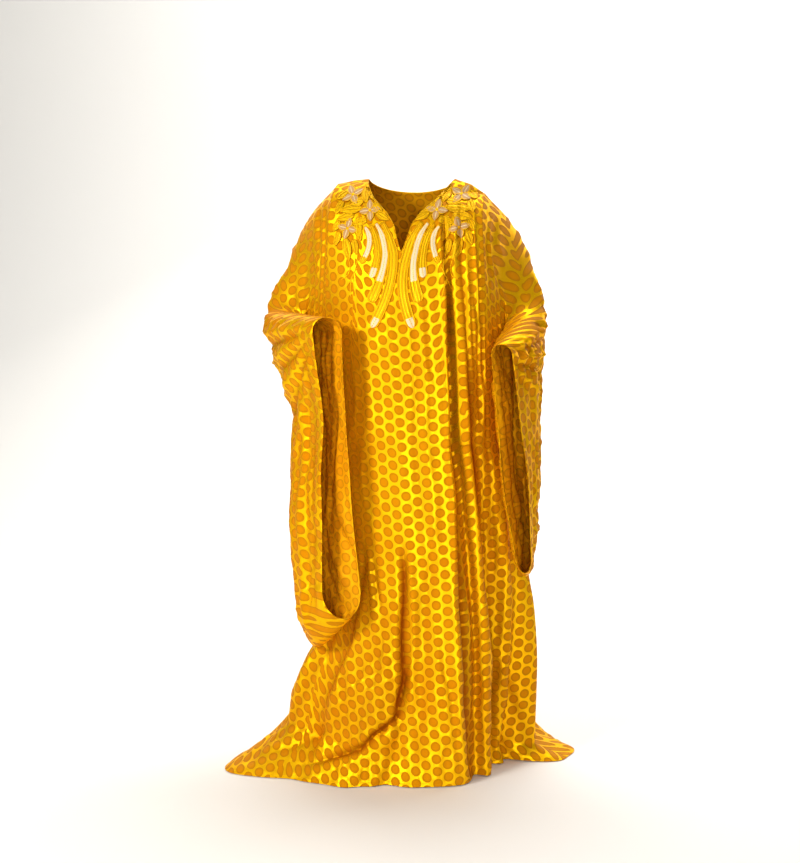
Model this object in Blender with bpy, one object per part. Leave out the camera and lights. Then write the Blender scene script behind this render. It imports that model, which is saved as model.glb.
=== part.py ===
"""Floor-length kaftan dress in damask, holding the form it has when worn with both forearms raised.

The front and back panels are rows of plan sections under a shoulder line. Each wing sleeve is a
row of drop-shaped rings that follow the arm from the armhole to the cuff and hang to the knee.
The panels and sleeves share the points of their seams and are then cut apart by a seam gap.
Metres, +Z up. The origin is the middle of the shoulder line, and the wearer faces -Y, so the
wearer's right is -X. A drop is a distance below the origin, as a tailor measures one.
"""

import math
from collections import namedtuple

import bmesh
import bpy
import numpy as np
from mathutils import Vector
from mathutils.bvhtree import BVHTree

# The cloth
WALL = 0.002
SEAM_GAP = 0.0003
FLOOR = 1.405

# The neck and the shoulders, half of each width, and how the cloth rounds over them
NECK_HALF = 0.105
SHOULDER_HALF = 0.175
SHOULDER_ROLL = 0.10
BACK_NECK_DROP = 0.030

# The armhole, and how far round a section its edges stand at the chest
ARMHOLE_DROP = 0.62
ARMHOLE_HALF = 0.212
CHEST_TURN = math.radians(50)
CLOSING_STARTS = 0.36

# The hem, where the cloth turns outwards along the floor
TURN_OUT_POWER = 1.3
FOLD_RADIUS = 0.21

# The joined cloth's faces are numbered by piece
PIECES = ("front", "back", "sleeve_right", "sleeve_left")
SLEEVE_PIECES = (2, 3)

# How finely the cloth is divided. Columns are counted on one side of the middle.
ARMHOLE_ROWS = 15
SKIRT_ROWS = 14
END_CROWDING = 0.75
HEM_CROWDING = 1.55
NECK_COLUMNS = 10
BACK_NECK_COLUMNS = 6
SHOULDER_COLUMNS = 7
SLEEVE_COLUMNS = 15

# How far the shoulder line lies below the origin on each side. Over the neck it is carried on.
ShoulderPoint = namedtuple("ShoulderPoint", "half right left")
SHOULDERS = (
    ShoulderPoint(0.000, -0.030, -0.028),
    ShoulderPoint(NECK_HALF, 0.000, 0.004),
    ShoulderPoint(0.140, 0.003, 0.016),
    ShoulderPoint(SHOULDER_HALF, 0.010, 0.040),
)

Section = namedtuple("Section", "drop right left front back left_aft")
SECTIONS = (
    # half-widths on the wearer's right and left, depths in front and behind, and how far back the
    # left side seam stands
    Section(0.000, 0.175, 0.175, 0.070, 0.060, 0.000),
    Section(0.045, 0.178, 0.175, 0.090, 0.080, 0.000),
    Section(0.100, 0.181, 0.179, 0.115, 0.100, 0.000),
    Section(0.180, 0.186, 0.184, 0.140, 0.114, 0.000),
    Section(0.260, 0.190, 0.189, 0.152, 0.121, 0.000),
    Section(0.360, 0.197, 0.196, 0.152, 0.122, 0.000),
    Section(0.500, 0.205, 0.204, 0.153, 0.120, 0.000),
    Section(0.620, 0.212, 0.212, 0.160, 0.135, 0.000),
    Section(0.700, 0.208, 0.234, 0.162, 0.144, 0.004),
    Section(0.800, 0.206, 0.250, 0.166, 0.155, 0.008),
    Section(0.920, 0.209, 0.268, 0.172, 0.165, 0.016),
    Section(1.020, 0.212, 0.286, 0.178, 0.174, 0.024),
    Section(1.100, 0.224, 0.294, 0.184, 0.182, 0.030),
    Section(1.160, 0.262, 0.298, 0.190, 0.188, 0.035),
    Section(1.220, 0.288, 0.299, 0.196, 0.195, 0.040),
    Section(1.290, 0.302, 0.300, 0.202, 0.202, 0.046),
    Section(1.405, 0.312, 0.304, 0.212, 0.215, 0.055),
)

NeckPoint = namedtuple("NeckPoint", "half drop")
FRONT_NECK = (
    NeckPoint(0.000, 0.180),
    NeckPoint(0.010, 0.150),
    NeckPoint(0.018, 0.122),
    NeckPoint(0.030, 0.100),
    NeckPoint(0.050, 0.076),
    NeckPoint(0.070, 0.056),
    NeckPoint(0.088, 0.030),
    NeckPoint(NECK_HALF, 0.002),
)

# The hem's reach over the floor, and the height at which the cloth starts to turn outwards. Turns
# are degrees round from the middle front, + to the wearer's left.
Reach = namedtuple("Reach", "turn out rise")
REACHES = (
    Reach(-180, 0.050, 0.090),
    Reach(-130, 0.050, 0.090),
    Reach(-100, 0.070, 0.100),
    Reach(-82, 0.105, 0.105),
    Reach(-67, 0.150, 0.098),
    Reach(-54, 0.124, 0.098),
    Reach(-40, 0.080, 0.090),
    Reach(-20, 0.034, 0.080),
    Reach(0, 0.022, 0.070),
    Reach(15, 0.004, 0.060),
    Reach(40, 0.002, 0.050),
    Reach(70, 0.030, 0.040),
    Reach(88, 0.076, 0.034),
    Reach(100, 0.098, 0.036),
    Reach(115, 0.060, 0.060),
    Reach(150, 0.050, 0.090),
    Reach(180, 0.050, 0.090),
)

# A fold stands out from the cloth, or in where its depth is negative. Its turn goes from the first
# to the hem's, and it is as wide as before and after say on its two sides.
Fold = namedtuple("Fold", "turn hem_turn bend start before after depth hem_depth")
FOLDS = (
    Fold(56, 62, 0, 0.55, 0.055, 0.075, -0.004, -0.085),
    Fold(37, 38, 0, 0.10, 0.010, 0.024, -0.016, -0.032),
    Fold(30, 30, 0, 0.30, 0.040, 0.012, 0.004, 0.012),
    Fold(47, 44, 0, 0.30, 0.016, 0.016, 0.010, 0.022),
    Fold(60, 52, 0, 0.36, 0.016, 0.016, -0.014, -0.024),
    Fold(74, 61, 0, 0.66, 0.018, 0.018, 0.010, 0.020),
    Fold(87, 71, 0, 0.70, 0.018, 0.018, -0.010, -0.022),
    Fold(98, 84, 0, 0.70, 0.020, 0.022, 0.008, 0.018),
    Fold(5, -4, 5, 0.88, 0.014, 0.030, -0.006, -0.022),
    Fold(-5, -19, 4, 0.98, 0.030, 0.016, 0.006, 0.018),
    Fold(-36, -43, 0, 0.75, 0.026, 0.022, -0.006, -0.014),
    Fold(-52, -62, 0, 0.70, 0.026, 0.026, 0.006, 0.022),
    Fold(-72, -80, 0, 0.70, 0.024, 0.024, -0.006, -0.022),
    Fold(-128, -118, 0, 0.30, 0.030, 0.030, 0.006, 0.026),
    Fold(-142, -136, 0, 0.20, 0.026, 0.026, -0.008, -0.026),
    Fold(-156, -152, 0, 0.12, 0.026, 0.030, 0.006, 0.024),
    Fold(-169, -167, 0, 0.12, 0.024, 0.024, -0.006, -0.022),
    Fold(180, 180, 0, 0.10, 0.026, 0.026, 0.006, 0.020),
    Fold(170, 168, 0, 0.12, 0.024, 0.024, -0.008, -0.026),
    Fold(157, 154, 0, 0.14, 0.026, 0.026, 0.006, 0.024),
    Fold(144, 138, 0, 0.22, 0.024, 0.028, -0.008, -0.026),
    Fold(130, 120, 0, 0.30, 0.030, 0.030, 0.006, 0.024),
)

# A sleeve ring: where it hangs from on the arm, its lowest point, the way that its outer side faces,
# as degrees round from straight behind, and half its thickness at four heights.
Ring = namedtuple("Ring", "along out y drop low_out low_y low_drop turn sway upper nip belly tail")
RIGHT_SLEEVE = (
    Ring(0.00, 0.175, 0.000, 0.010, 0.212, 0.000, 0.620, 0, 0.000, 0.088, 0.096, 0.080, 0.020),
    Ring(0.22, 0.252, 0.012, 0.085, 0.262, 0.010, 0.650, 24, 0.000, 0.076, 0.056, 0.044, 0.014),
    Ring(0.44, 0.294, 0.016, 0.198, 0.268, 0.016, 0.970, 52, -0.026, 0.056, 0.018, 0.026, 0.010),
    Ring(0.62, 0.322, -0.010, 0.302, 0.237, -0.052, 1.105, 78, -0.030, 0.047, 0.018, 0.016, 0.008),
    Ring(0.80, 0.250, -0.100, 0.318, 0.214, -0.164, 1.146, 106, -0.014, 0.044, 0.024, 0.030, 0.016),
    Ring(1.00, 0.160, -0.205, 0.325, 0.120, -0.224, 1.015, 96, -0.006, 0.034, 0.026, 0.034, 0.046),
)
LEFT_SLEEVE = (
    Ring(0.00, 0.175, 0.000, 0.040, 0.212, 0.000, 0.620, 0, 0.000, 0.088, 0.096, 0.080, 0.020),
    Ring(0.22, 0.224, 0.012, 0.105, 0.256, 0.012, 0.665, 22, 0.000, 0.076, 0.060, 0.044, 0.014),
    Ring(0.44, 0.252, 0.020, 0.200, 0.270, 0.020, 0.860, 42, 0.000, 0.058, 0.038, 0.032, 0.012),
    Ring(0.62, 0.276, 0.006, 0.300, 0.282, -0.004, 0.925, 68, 0.000, 0.042, 0.028, 0.028, 0.010),
    Ring(0.80, 0.262, -0.080, 0.345, 0.286, -0.085, 0.940, 88, 0.000, 0.040, 0.030, 0.030, 0.014),
    Ring(1.00, 0.234, -0.175, 0.385, 0.292, -0.165, 0.905, 72, 0.000, 0.024, 0.026, 0.030, 0.018),
)

# A sleeve's fold runs down its inner face, -1, or its outer face, 1, from one place along the
# sleeve and height to another.
SleeveFold = namedtuple("SleeveFold", "face along low_along top low width depth")
RIGHT_SLEEVE_FOLDS = (
    SleeveFold(1, 0.47, 0.58, 0.36, 1.00, 0.030, 0.010),
    SleeveFold(1, 0.68, 0.70, 0.16, 0.95, 0.018, -0.010),
    SleeveFold(1, 0.78, 0.80, 0.12, 0.95, 0.016, 0.009),
    SleeveFold(1, 0.88, 0.90, 0.10, 0.95, 0.014, -0.008),
    SleeveFold(-1, 0.16, 0.26, 0.10, 0.50, 0.026, -0.006),
    SleeveFold(-1, 0.74, 0.76, 0.15, 0.95, 0.022, 0.008),
    SleeveFold(-1, 0.87, 0.87, 0.20, 0.95, 0.018, -0.008),
)
LEFT_SLEEVE_FOLDS = (
    SleeveFold(1, 0.50, 0.56, 0.30, 1.00, 0.028, 0.010),
    SleeveFold(1, 0.70, 0.66, 0.20, 0.95, 0.018, -0.010),
    SleeveFold(1, 0.82, 0.80, 0.16, 0.95, 0.016, 0.008),
    SleeveFold(-1, 0.16, 0.26, 0.10, 0.50, 0.026, -0.006),
    SleeveFold(-1, 0.76, 0.76, 0.18, 0.95, 0.020, 0.008),
    SleeveFold(-1, 0.88, 0.88, 0.20, 0.95, 0.016, -0.007),
)
SLEEVE_LENGTH = 0.50
FOLD_ENDS = 0.08
RELIEF_SHARE = 0.5

# A ring is narrowest below the arm and widens again below that. The sleeve sways round the narrow
# place, and its inner face is evened out along the sleeve this many times.
NIP_HEIGHT = 0.33
BELLY_HEIGHT = 0.56
NIP_REACH = 0.14
CAP_MARGIN = 0.02
EVENINGS = 8

# The raised embroidery round the neck. Halves are distances from the front's middle line, which
# leans to the wearer's right below the slit.
MIDDLE_SHIFT = -0.002
MIDDLE_LEAN = -0.10
SLIT_DROP = 0.180
EMBROIDERY_GAP = 0.0010
EMBROIDERY_EDGE = 0.0012
EMBROIDERY_CROWN = 0.0016
BAND_STEPS = 12
BAND_START = 0.45
BAND_TIP = 0.55
PETAL_STEPS = 20
PETAL_RINGS = 2
PETALS = 4
PETAL_WAIST = 0.36
PETAL_FULLNESS = 0.7
FLOWER_HEART = 0.2
LEAF_STEPS = 5

# A band curves from the flowers towards the slit and out again to its tip
Band = namedtuple("Band", "half drop bow bow_drop tip tip_drop width")
BANDS = (
    Band(0.047, 0.109, -0.022, 0.218, 0.0485, 0.350, 0.0180),
    Band(0.062, 0.111, 0.0080, 0.180, 0.0570, 0.292, 0.0130),
    Band(0.076, 0.113, 0.0390, 0.168, 0.0610, 0.236, 0.0115),
    Band(0.089, 0.118, 0.0570, 0.150, 0.0910, 0.204, 0.0095),
)
Flower = namedtuple("Flower", "half drop radius turn")
FLOWERS = (
    Flower(0.078, 0.081, 0.020, 8),
    Flower(0.126, 0.042, 0.021, 30),
    Flower(0.130, 0.122, 0.020, -15),
)
Leaf = namedtuple("Leaf", "half drop tip tip_drop width")
LEAVES = (
    Leaf(0.058, 0.089, 0.034, 0.103, 0.010),
    Leaf(0.091, 0.057, 0.101, 0.028, 0.010),
    Leaf(0.104, 0.076, 0.150, 0.080, 0.015),
    Leaf(0.102, 0.100, 0.103, 0.144, 0.012),
    Leaf(0.134, 0.148, 0.122, 0.192, 0.014),
)


def smooth(knots, values, at):
    """The values at the knots, joined by a smooth line that keeps level past its ends."""
    knots = np.asarray(knots, float)
    values = np.asarray(values, float)
    at = np.asarray(at, float)
    slopes = np.gradient(values, knots)
    i = np.clip(np.searchsorted(knots, at) - 1, 0, len(knots) - 2)
    span = knots[i + 1] - knots[i]
    t = np.clip((at - knots[i]) / span, 0, 1)
    start = (1 + 2 * t) * (1 - t) ** 2 * values[i] + t * (1 - t) ** 2 * span * slopes[i]
    end = t * t * (3 - 2 * t) * values[i + 1] - t * t * (1 - t) * span * slopes[i + 1]
    return start + end


def read(rows, column, at, key="drop"):
    """One column of a table, read smoothly between its rows."""
    return smooth([getattr(row, key) for row in rows], [getattr(row, column) for row in rows], at)


def ease(value, low, high):
    """0 below low, 1 above high, and a smooth rise between them."""
    t = np.clip((value - low) / (high - low), 0, 1)
    return t * t * (3 - 2 * t)


def quarter_round(t):
    """The height of a quarter circle, from 0 at its foot to 1 at its top."""
    return np.sqrt(np.clip(1 - (1 - np.clip(t, 0, 1)) ** 2, 0, 1))


def ring_thickness(height, upper, nip, belly, tail, length):
    """Half a sleeve ring's thickness at a height, 0 at the arm and 1 at its lowest point."""
    knots = (0.0, NIP_HEIGHT, BELLY_HEIGHT, 1.0)
    top_cap = quarter_round(height * length / upper)
    low_cap = quarter_round((1 - height) * length / (tail + CAP_MARGIN))
    whole = np.zeros(np.broadcast(height, upper).shape)
    for i in range(3):
        left = (upper, nip, belly, tail)[i]
        right = (upper, nip, belly, tail)[i + 1]
        inside = (height >= knots[i]) & (height <= knots[i + 1])
        whole = np.where(inside, left + (right - left) * ease(height, knots[i], knots[i + 1]), whole)
    return whole * top_cap * low_cap


def on_each_side(place, right, left):
    """The value for the side that each place is on, negative for the wearer's right."""
    return np.where(place < 0, right, left)


def armhole_depth(rings, drop):
    """How far an armhole's edge stands from the shoulder line, in front and behind."""
    ring = rings[0]
    length = ring.low_drop - ring.drop
    height = np.clip((drop - ring.drop) / length, 0, 1)
    return ring_thickness(height, ring.upper, ring.nip, ring.belly, ring.tail, length)


def half_width(column, top, drop):
    """The section's half-width on one side, which is straight along the armhole."""
    armhole = np.interp(drop, (top, ARMHOLE_DROP), (SHOULDER_HALF, ARMHOLE_HALF))
    skirt_rows = [row for row in SECTIONS if row.drop >= ARMHOLE_DROP]
    return np.where(drop < ARMHOLE_DROP, armhole, read(skirt_rows, column, drop))


def half_widths(s, drop):
    """The section's half-width on the side that each place is on."""
    right = half_width("right", SHOULDERS[-1].right, drop)
    left = half_width("left", SHOULDERS[-1].left, drop)
    return on_each_side(s, right, left)


def shoulder_drop(x):
    """How far the shoulder line lies below the origin."""
    halves = [point.half for point in SHOULDERS]
    right = np.interp(np.abs(x), halves, [point.right for point in SHOULDERS])
    left = np.interp(np.abs(x), halves, [point.left for point in SHOULDERS])
    return on_each_side(x, right, left)


def across(s, drop):
    """x at a place across the panel, s from -1 to 1, its share of the width, and how near the middle."""
    full = CHEST_TURN + (math.pi / 2 - CHEST_TURN) * ease(drop, CLOSING_STARTS, ARMHOLE_DROP)
    share = np.sin(s * full) / np.sin(full)
    middle = (np.cos(s * full) - np.cos(full)) / (1 - np.cos(full))
    return half_widths(s, drop) * share, share, middle


def fold_relief(turn, drop, share):
    """How far the folds move the cloth outwards at a turn round the section."""
    relief = np.zeros(np.shape(turn))
    for fold in FOLDS:
        t = np.clip((drop - fold.start) / (FLOOR - fold.start), 0, 1)
        centre = fold.turn + (fold.hem_turn - fold.turn) * t + fold.bend * 4 * t * (1 - t)
        away = np.radians((turn - centre + 180) % 360 - 180) * FOLD_RADIUS
        width = np.where(away < 0, fold.before, fold.after)
        depth = fold.depth + (fold.hem_depth - fold.depth) * t
        depth = depth * ease(drop, fold.start - 0.02, fold.start + 0.18)
        relief += depth * np.exp(-((away / width) ** 2))
    armhole = 1 - ease(drop, ARMHOLE_DROP, ARMHOLE_DROP + 0.25)
    near_edge = ease(np.abs(share), 0.75, 0.98)
    return relief * (1 - armhole * near_edge)


def panel_points(s, drop, face):
    """Points of the front panel, face -1, or the back panel, face 1."""
    x, share, middle = across(s, drop)
    depth = read(SECTIONS, "front" if face < 0 else "back", drop)
    edge = on_each_side(s, armhole_depth(RIGHT_SLEEVE, drop), armhole_depth(LEFT_SLEEVE, drop))
    roll = quarter_round((drop - shoulder_drop(x)) / SHOULDER_ROLL)
    y = face * (edge * (1 - middle) + depth * roll * middle)
    y = y + read(SECTIONS, "left_aft", drop) * ease(share, 0.25, 1)
    turn = np.degrees(np.arcsin(np.clip(share, -1, 1)))
    if face > 0:
        turn = on_each_side(turn, -180 - turn, 180 - turn)
    rise = read(REACHES, "rise", turn, "turn")
    turned_out = np.clip(1 - (FLOOR - drop) / rise, 0, 1) ** TURN_OUT_POWER
    out = fold_relief(turn, drop, share) + read(REACHES, "out", turn, "turn") * turned_out
    normal_x = share * depth
    normal_y = face * np.sqrt(np.clip(1 - share**2, 0, 1)) * half_widths(s, drop)
    size = np.hypot(normal_x, normal_y)
    return np.stack([x + out * normal_x / size, y + out * normal_y / size, -drop], -1)


def armhole_heights():
    """The heights of the armhole's rows, closer together at both ends, where the cloth rounds."""
    even = np.linspace(0, 1, ARMHOLE_ROWS + 1)
    return (1 - END_CROWDING) * even + END_CROWDING * (1 - np.cos(math.pi * even)) / 2


def column_places(neck_columns, shoulder_columns):
    """Places across a panel from -1 to 1, with one exactly at each end of the neck."""
    neck = math.asin(NECK_HALF / SHOULDER_HALF * math.sin(CHEST_TURN)) / CHEST_TURN
    over_neck = np.linspace(0, neck, neck_columns + 1)
    over_shoulder = np.linspace(neck, 1, shoulder_columns + 1)
    half = np.concatenate([over_neck, over_shoulder[1:]])
    return np.concatenate([-half[:0:-1], half])


def panel_grid(face):
    """The panel's places across and its drops, as a grid whose top row is the neck and shoulders."""
    neck_columns = NECK_COLUMNS if face < 0 else BACK_NECK_COLUMNS
    places = column_places(neck_columns, SHOULDER_COLUMNS)
    x = SHOULDER_HALF * across(places, np.zeros(places.shape))[1]
    top = shoulder_drop(x)
    if face < 0:
        neck_edge = read(FRONT_NECK, "drop", np.abs(x), "half")
    else:
        neck_edge = BACK_NECK_DROP * quarter_round(1 - np.abs(x) / NECK_HALF)
    top = np.where(np.abs(x) < NECK_HALF - 1e-6, neck_edge, top)
    armhole = top[None, :] + (ARMHOLE_DROP - top)[None, :] * armhole_heights()[:, None]
    even = np.linspace(0, 1, SKIRT_ROWS + 1)[1:]
    skirt = ARMHOLE_DROP + (FLOOR - ARMHOLE_DROP) * (1 - (1 - even) ** HEM_CROWDING)
    drop = np.concatenate([armhole, np.repeat(skirt[:, None], len(places), axis=1)])
    return np.repeat(places[None, :], len(drop), axis=0), drop


def sleeve_relief(folds, along, height, face):
    """How far a sleeve's folds move its cloth away from the sleeve's middle."""
    relief = np.zeros(np.shape(along))
    for fold in folds:
        t = (height - fold.top) / (fold.low - fold.top)
        centre = fold.along + (fold.low_along - fold.along) * np.clip(t, 0, 1)
        away = (along - centre) * SLEEVE_LENGTH / fold.width
        ends = ease(height, fold.top - FOLD_ENDS, fold.top + FOLD_ENDS)
        ends = ends * (1 - ease(height, fold.low - FOLD_ENDS, fold.low + FOLD_ENDS))
        relief += np.where(face == fold.face, fold.depth * ends * np.exp(-(away**2)), 0)
    at_seams = ease(along, 0, 0.12) * ease(height, 0, 0.10) * (1 - ease(height, 0.92, 1))
    return relief * at_seams


def sleeve_points(rings, folds, side, along, height, face):
    """Points of a sleeve, face -1 for its front and inner side and 1 for its back and outer side."""
    value = {name: read(rings, name, along, "along") for name in Ring._fields[1:]}
    turn = np.radians(value["turn"])
    facing = np.stack([side * np.sin(turn), np.cos(turn), np.zeros(np.shape(turn))], -1)
    top = np.stack([side * value["out"], value["y"], -value["drop"]], -1)
    low = np.stack([side * value["low_out"], value["low_y"], -value["low_drop"]], -1)
    length = value["low_drop"] - value["drop"]
    thick = ring_thickness(
        height, value["upper"], value["nip"], value["belly"], value["tail"], length
    )
    relief = sleeve_relief(folds, along, height, face)
    thick = thick + np.maximum(relief, -RELIEF_SHARE * thick)
    sway = value["sway"] * np.exp(-(((height - NIP_HEIGHT) / NIP_REACH) ** 2))
    points = top + (low - top) * height[..., None] + (face * thick + sway)[..., None] * facing
    return evened(points, height, face)


def evened(points, height, face):
    """The points, with the inner face's evened along the sleeve, as its rings crowd in the elbow."""
    free = ease(height, 0, 0.12) * np.where(face < 0, 1, ease(height, 0.86, 1))
    for _ in range(EVENINGS):
        between = (points[:, :-2] + points[:, 2:]) / 2
        step = free[:, 1:-1, None] * (between - points[:, 1:-1]) / 2
        points[:, 1:-1] = points[:, 1:-1] + step
    return points


def sleeve_grid():
    """Places along a sleeve, heights down its rings and which side of the ring each is on."""
    heights = armhole_heights()
    round_heights = np.concatenate([heights, heights[-2::-1]])
    faces = np.concatenate([-np.ones(ARMHOLE_ROWS), [0], np.ones(ARMHOLE_ROWS)])
    along = np.linspace(0, 1, SLEEVE_COLUMNS + 1)
    along, height = np.meshgrid(along, round_heights)
    face = np.repeat(faces[:, None], SLEEVE_COLUMNS + 1, axis=1)
    return along, height, face


def add_grid(cloth, piece, points, number):
    """Lays a grid of faces through the points, rows by columns, and marks them as one piece's."""
    rows, columns = points.shape[:2]
    made = bmesh.ops.create_grid(cloth, x_segments=columns - 1, y_segments=rows - 1, size=0.5)
    cloth.verts.ensure_lookup_table()
    for vert in made["verts"]:
        column = round((vert.co.x + 0.5) * (columns - 1))
        row = round((vert.co.y + 0.5) * (rows - 1))
        vert.co = Vector(points[row, column])
        for face in vert.link_faces:
            face[piece] = number


def joined_cloth():
    """The whole garment as one thin sheet, whose pieces meet along their seams."""
    cloth = bmesh.new()
    piece = cloth.faces.layers.int.new("piece")
    grids = []
    for face in (-1, 1):
        s, drop = panel_grid(face)
        grids.append(panel_points(s, drop, face))
    along, height, face = sleeve_grid()
    grids.append(sleeve_points(RIGHT_SLEEVE, RIGHT_SLEEVE_FOLDS, -1, along, height, face))
    grids.append(sleeve_points(LEFT_SLEEVE, LEFT_SLEEVE_FOLDS, 1, along, height, face))
    for number, points in enumerate(grids):
        add_grid(cloth, piece, points, number)
    bmesh.ops.remove_doubles(cloth, verts=cloth.verts, dist=2e-5)
    bmesh.ops.recalc_face_normals(cloth, faces=cloth.faces)
    cloth.normal_update()
    chest = min(cloth.faces, key=lambda f: f.calc_center_median().y)
    if chest.normal.y > 0:
        bmesh.ops.reverse_faces(cloth, faces=cloth.faces)
        cloth.normal_update()
    outward = cloth.verts.layers.float_vector.new("outward")
    for vert in cloth.verts:
        vert[outward] = vert.normal
    return cloth


def inset_edges(sheet):
    """Draws every open edge of the sheet in by half the seam gap, square at its corners."""
    shifts = {}
    for edge in sheet.edges:
        if not edge.is_boundary:
            continue
        face = edge.link_faces[0]
        a, b = edge.verts
        inward = (b.co - a.co).cross(face.normal).normalized()
        if inward.dot(face.calc_center_median() - a.co) < 0:
            inward = -inward
        for vert in edge.verts:
            shifts.setdefault(vert, []).append(inward)
    for vert, inwards in shifts.items():
        both = sum(inwards, Vector())
        reach = 1 + (inwards[0].dot(inwards[-1]) if len(inwards) > 1 else 0)
        vert.co += both * (SEAM_GAP / 2 / max(reach, 0.3))


def cut_piece(cloth, number):
    """One piece of the joined cloth as a sheet of its own."""
    sheet = cloth.copy()
    piece = sheet.faces.layers.int["piece"]
    others = [face for face in sheet.faces if face[piece] != number]
    bmesh.ops.delete(sheet, geom=others, context="FACES")
    if number in SLEEVE_PIECES:
        face_underarm_outward(sheet)
    inset_edges(sheet)
    return sheet


def face_underarm_outward(sheet):
    """Turns the sleeve's underarm point to face as the sleeve alone does there."""
    outward = sheet.verts.layers.float_vector["outward"]
    sheet.normal_update()
    side = math.copysign(1, sum(vert.co.x for vert in sheet.verts))
    underarm = Vector((side * ARMHOLE_HALF, 0, -ARMHOLE_DROP))
    nearest = min(sheet.verts, key=lambda vert: (vert.co - underarm).length)
    nearest[outward] = nearest.normal


def thicken(sheet, wall):
    """Gives the sheet a wall, inwards along the way that each point faces."""
    outward = sheet.verts.layers.float_vector["outward"]
    made = bmesh.ops.extrude_face_region(sheet, geom=sheet.faces[:], use_keep_orig=True)
    inner = {part for part in made["geom"] if isinstance(part, bmesh.types.BMVert)}
    for vert in inner:
        vert.co -= vert[outward] * wall
    split_edge_faces(sheet, inner)
    bmesh.ops.recalc_face_normals(sheet, faces=sheet.faces)


def split_edge_faces(sheet, inner):
    """Splits the faces round the sheet's edge in one way, so that two pieces agree along a seam."""
    for face in list(sheet.faces):
        outer = [vert for vert in face.verts if vert not in inner]
        if len(outer) != 2 or len(face.verts) != 4:
            continue
        start = max(outer, key=lambda vert: (round(vert.co.z, 3), round(vert.co.y, 2)))
        loops = list(face.verts)
        across_face = loops[(loops.index(start) + 2) % 4]
        bmesh.utils.face_split(face, start, across_face)


def flat_sheet(columns, rows, place):
    """A flat sheet of embroidery, each point at the half, drop and crown that place gives it."""
    sheet = bmesh.new()
    outward = sheet.verts.layers.float_vector.new("outward")
    crown = sheet.verts.layers.float.new("crown")
    bmesh.ops.create_grid(sheet, x_segments=columns, y_segments=rows, size=0.5)
    for vert in sheet.verts:
        half, drop, vert[crown] = place(vert.co.x + 0.5, vert.co.y + 0.5)
        vert.co = (half, 0, -drop)
        vert[outward] = (0, -1, 0)
    bmesh.ops.remove_doubles(sheet, verts=sheet.verts, dist=1e-5)
    return sheet


def band_sheet(band):
    """A band of even width that starts narrow and ends in a blunt round tip."""

    def place(across_band, t):
        half = (1 - t) ** 2 * band.half + 2 * t * (1 - t) * band.bow + t * t * band.tip
        drop = (1 - t) ** 2 * band.drop + 2 * t * (1 - t) * band.bow_drop + t * t * band.tip_drop
        along = Vector(
            (
                (1 - t) * (band.bow - band.half) + t * (band.tip - band.bow),
                (1 - t) * (band.bow_drop - band.drop) + t * (band.tip_drop - band.bow_drop),
            )
        ).normalized()
        start = BAND_START + (1 - BAND_START) * float(ease(t, 0, 0.35))
        end = 1 - (1 - BAND_TIP) * float(ease(t, 0.93, 1))
        off = (across_band - 0.5) * band.width * start * end
        return half + along.y * off, drop - along.x * off, 1 - abs(2 * across_band - 1)

    return flat_sheet(2, BAND_STEPS, place)


def flower_sheet(flower):
    """A flower whose petals are the lobes of one outline."""

    def place(round_flower, out):
        angle = 2 * math.pi * round_flower
        lobe = abs(math.cos(PETALS / 2 * angle)) ** PETAL_FULLNESS
        radius = out * flower.radius * (PETAL_WAIST + (1 - PETAL_WAIST) * lobe)
        angle += math.radians(flower.turn)
        crown = math.sin(math.pi * out) if 0 < out < 1 else FLOWER_HEART * (1 - out)
        return flower.half + radius * math.cos(angle), flower.drop + radius * math.sin(angle), crown

    return flat_sheet(PETAL_STEPS, PETAL_RINGS, place)


def leaf_sheet(leaf):
    """A leaf that swells in its middle, blunt at its base and pointed at its tip."""
    along = Vector((leaf.tip - leaf.half, leaf.tip_drop - leaf.drop))

    def place(across_leaf, t):
        swell = 0.12 + 0.88 * math.sin(math.pi * (0.12 + 0.80 * t)) ** 0.9
        off = (across_leaf - 0.5) * leaf.width * swell / along.length
        half = leaf.half + along.x * t + along.y * off
        drop = leaf.drop + along.y * t - along.x * off
        return half, drop, 1 - abs(2 * across_leaf - 1)

    return flat_sheet(2, LEAF_STEPS, place)


def lay_on(panel, sheet, side):
    """Moves a flat sheet onto the panel, raises it and closes it into a solid."""
    crown = sheet.verts.layers.float["crown"]
    outward = sheet.verts.layers.float_vector["outward"]
    for vert in sheet.verts:
        drop = -vert.co.z
        middle = MIDDLE_SHIFT + MIDDLE_LEAN * max(drop - SLIT_DROP, 0)
        x = middle + side * vert.co.x
        hit, normal = panel.ray_cast(Vector((x, -1, -drop)), Vector((0, 1, 0)))[:2]
        vert.co = hit + normal * EMBROIDERY_GAP
        vert[outward] = normal
    made = bmesh.ops.extrude_face_region(sheet, geom=sheet.faces[:], use_keep_orig=True)
    for part in made["geom"]:
        if isinstance(part, bmesh.types.BMVert):
            part.co += part[outward] * (EMBROIDERY_EDGE + EMBROIDERY_CROWN * part[crown])
    bmesh.ops.recalc_face_normals(sheet, faces=sheet.faces)


def finish_object(name, shape, material):
    """The shape as an object of its own, shaded smooth, with its material."""
    mesh = bpy.data.meshes.new(name)
    shape.to_mesh(mesh)
    shape.free()
    mesh.shade_smooth()
    mesh.set_sharp_from_angle(angle=math.radians(50))
    mesh.materials.append(material)
    made = bpy.data.objects.new(name, mesh)
    bpy.context.scene.collection.objects.link(made)
    return made


def fabric(name, colour, roughness):
    """A plain cloth material."""
    material = bpy.data.materials.new(name)
    material.use_nodes = True
    shader = material.node_tree.nodes["Principled BSDF"]
    shader.inputs["Base Color"].default_value = (*colour, 1)
    shader.inputs["Roughness"].default_value = roughness
    shader.inputs["Metallic"].default_value = 0.0
    return material


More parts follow.
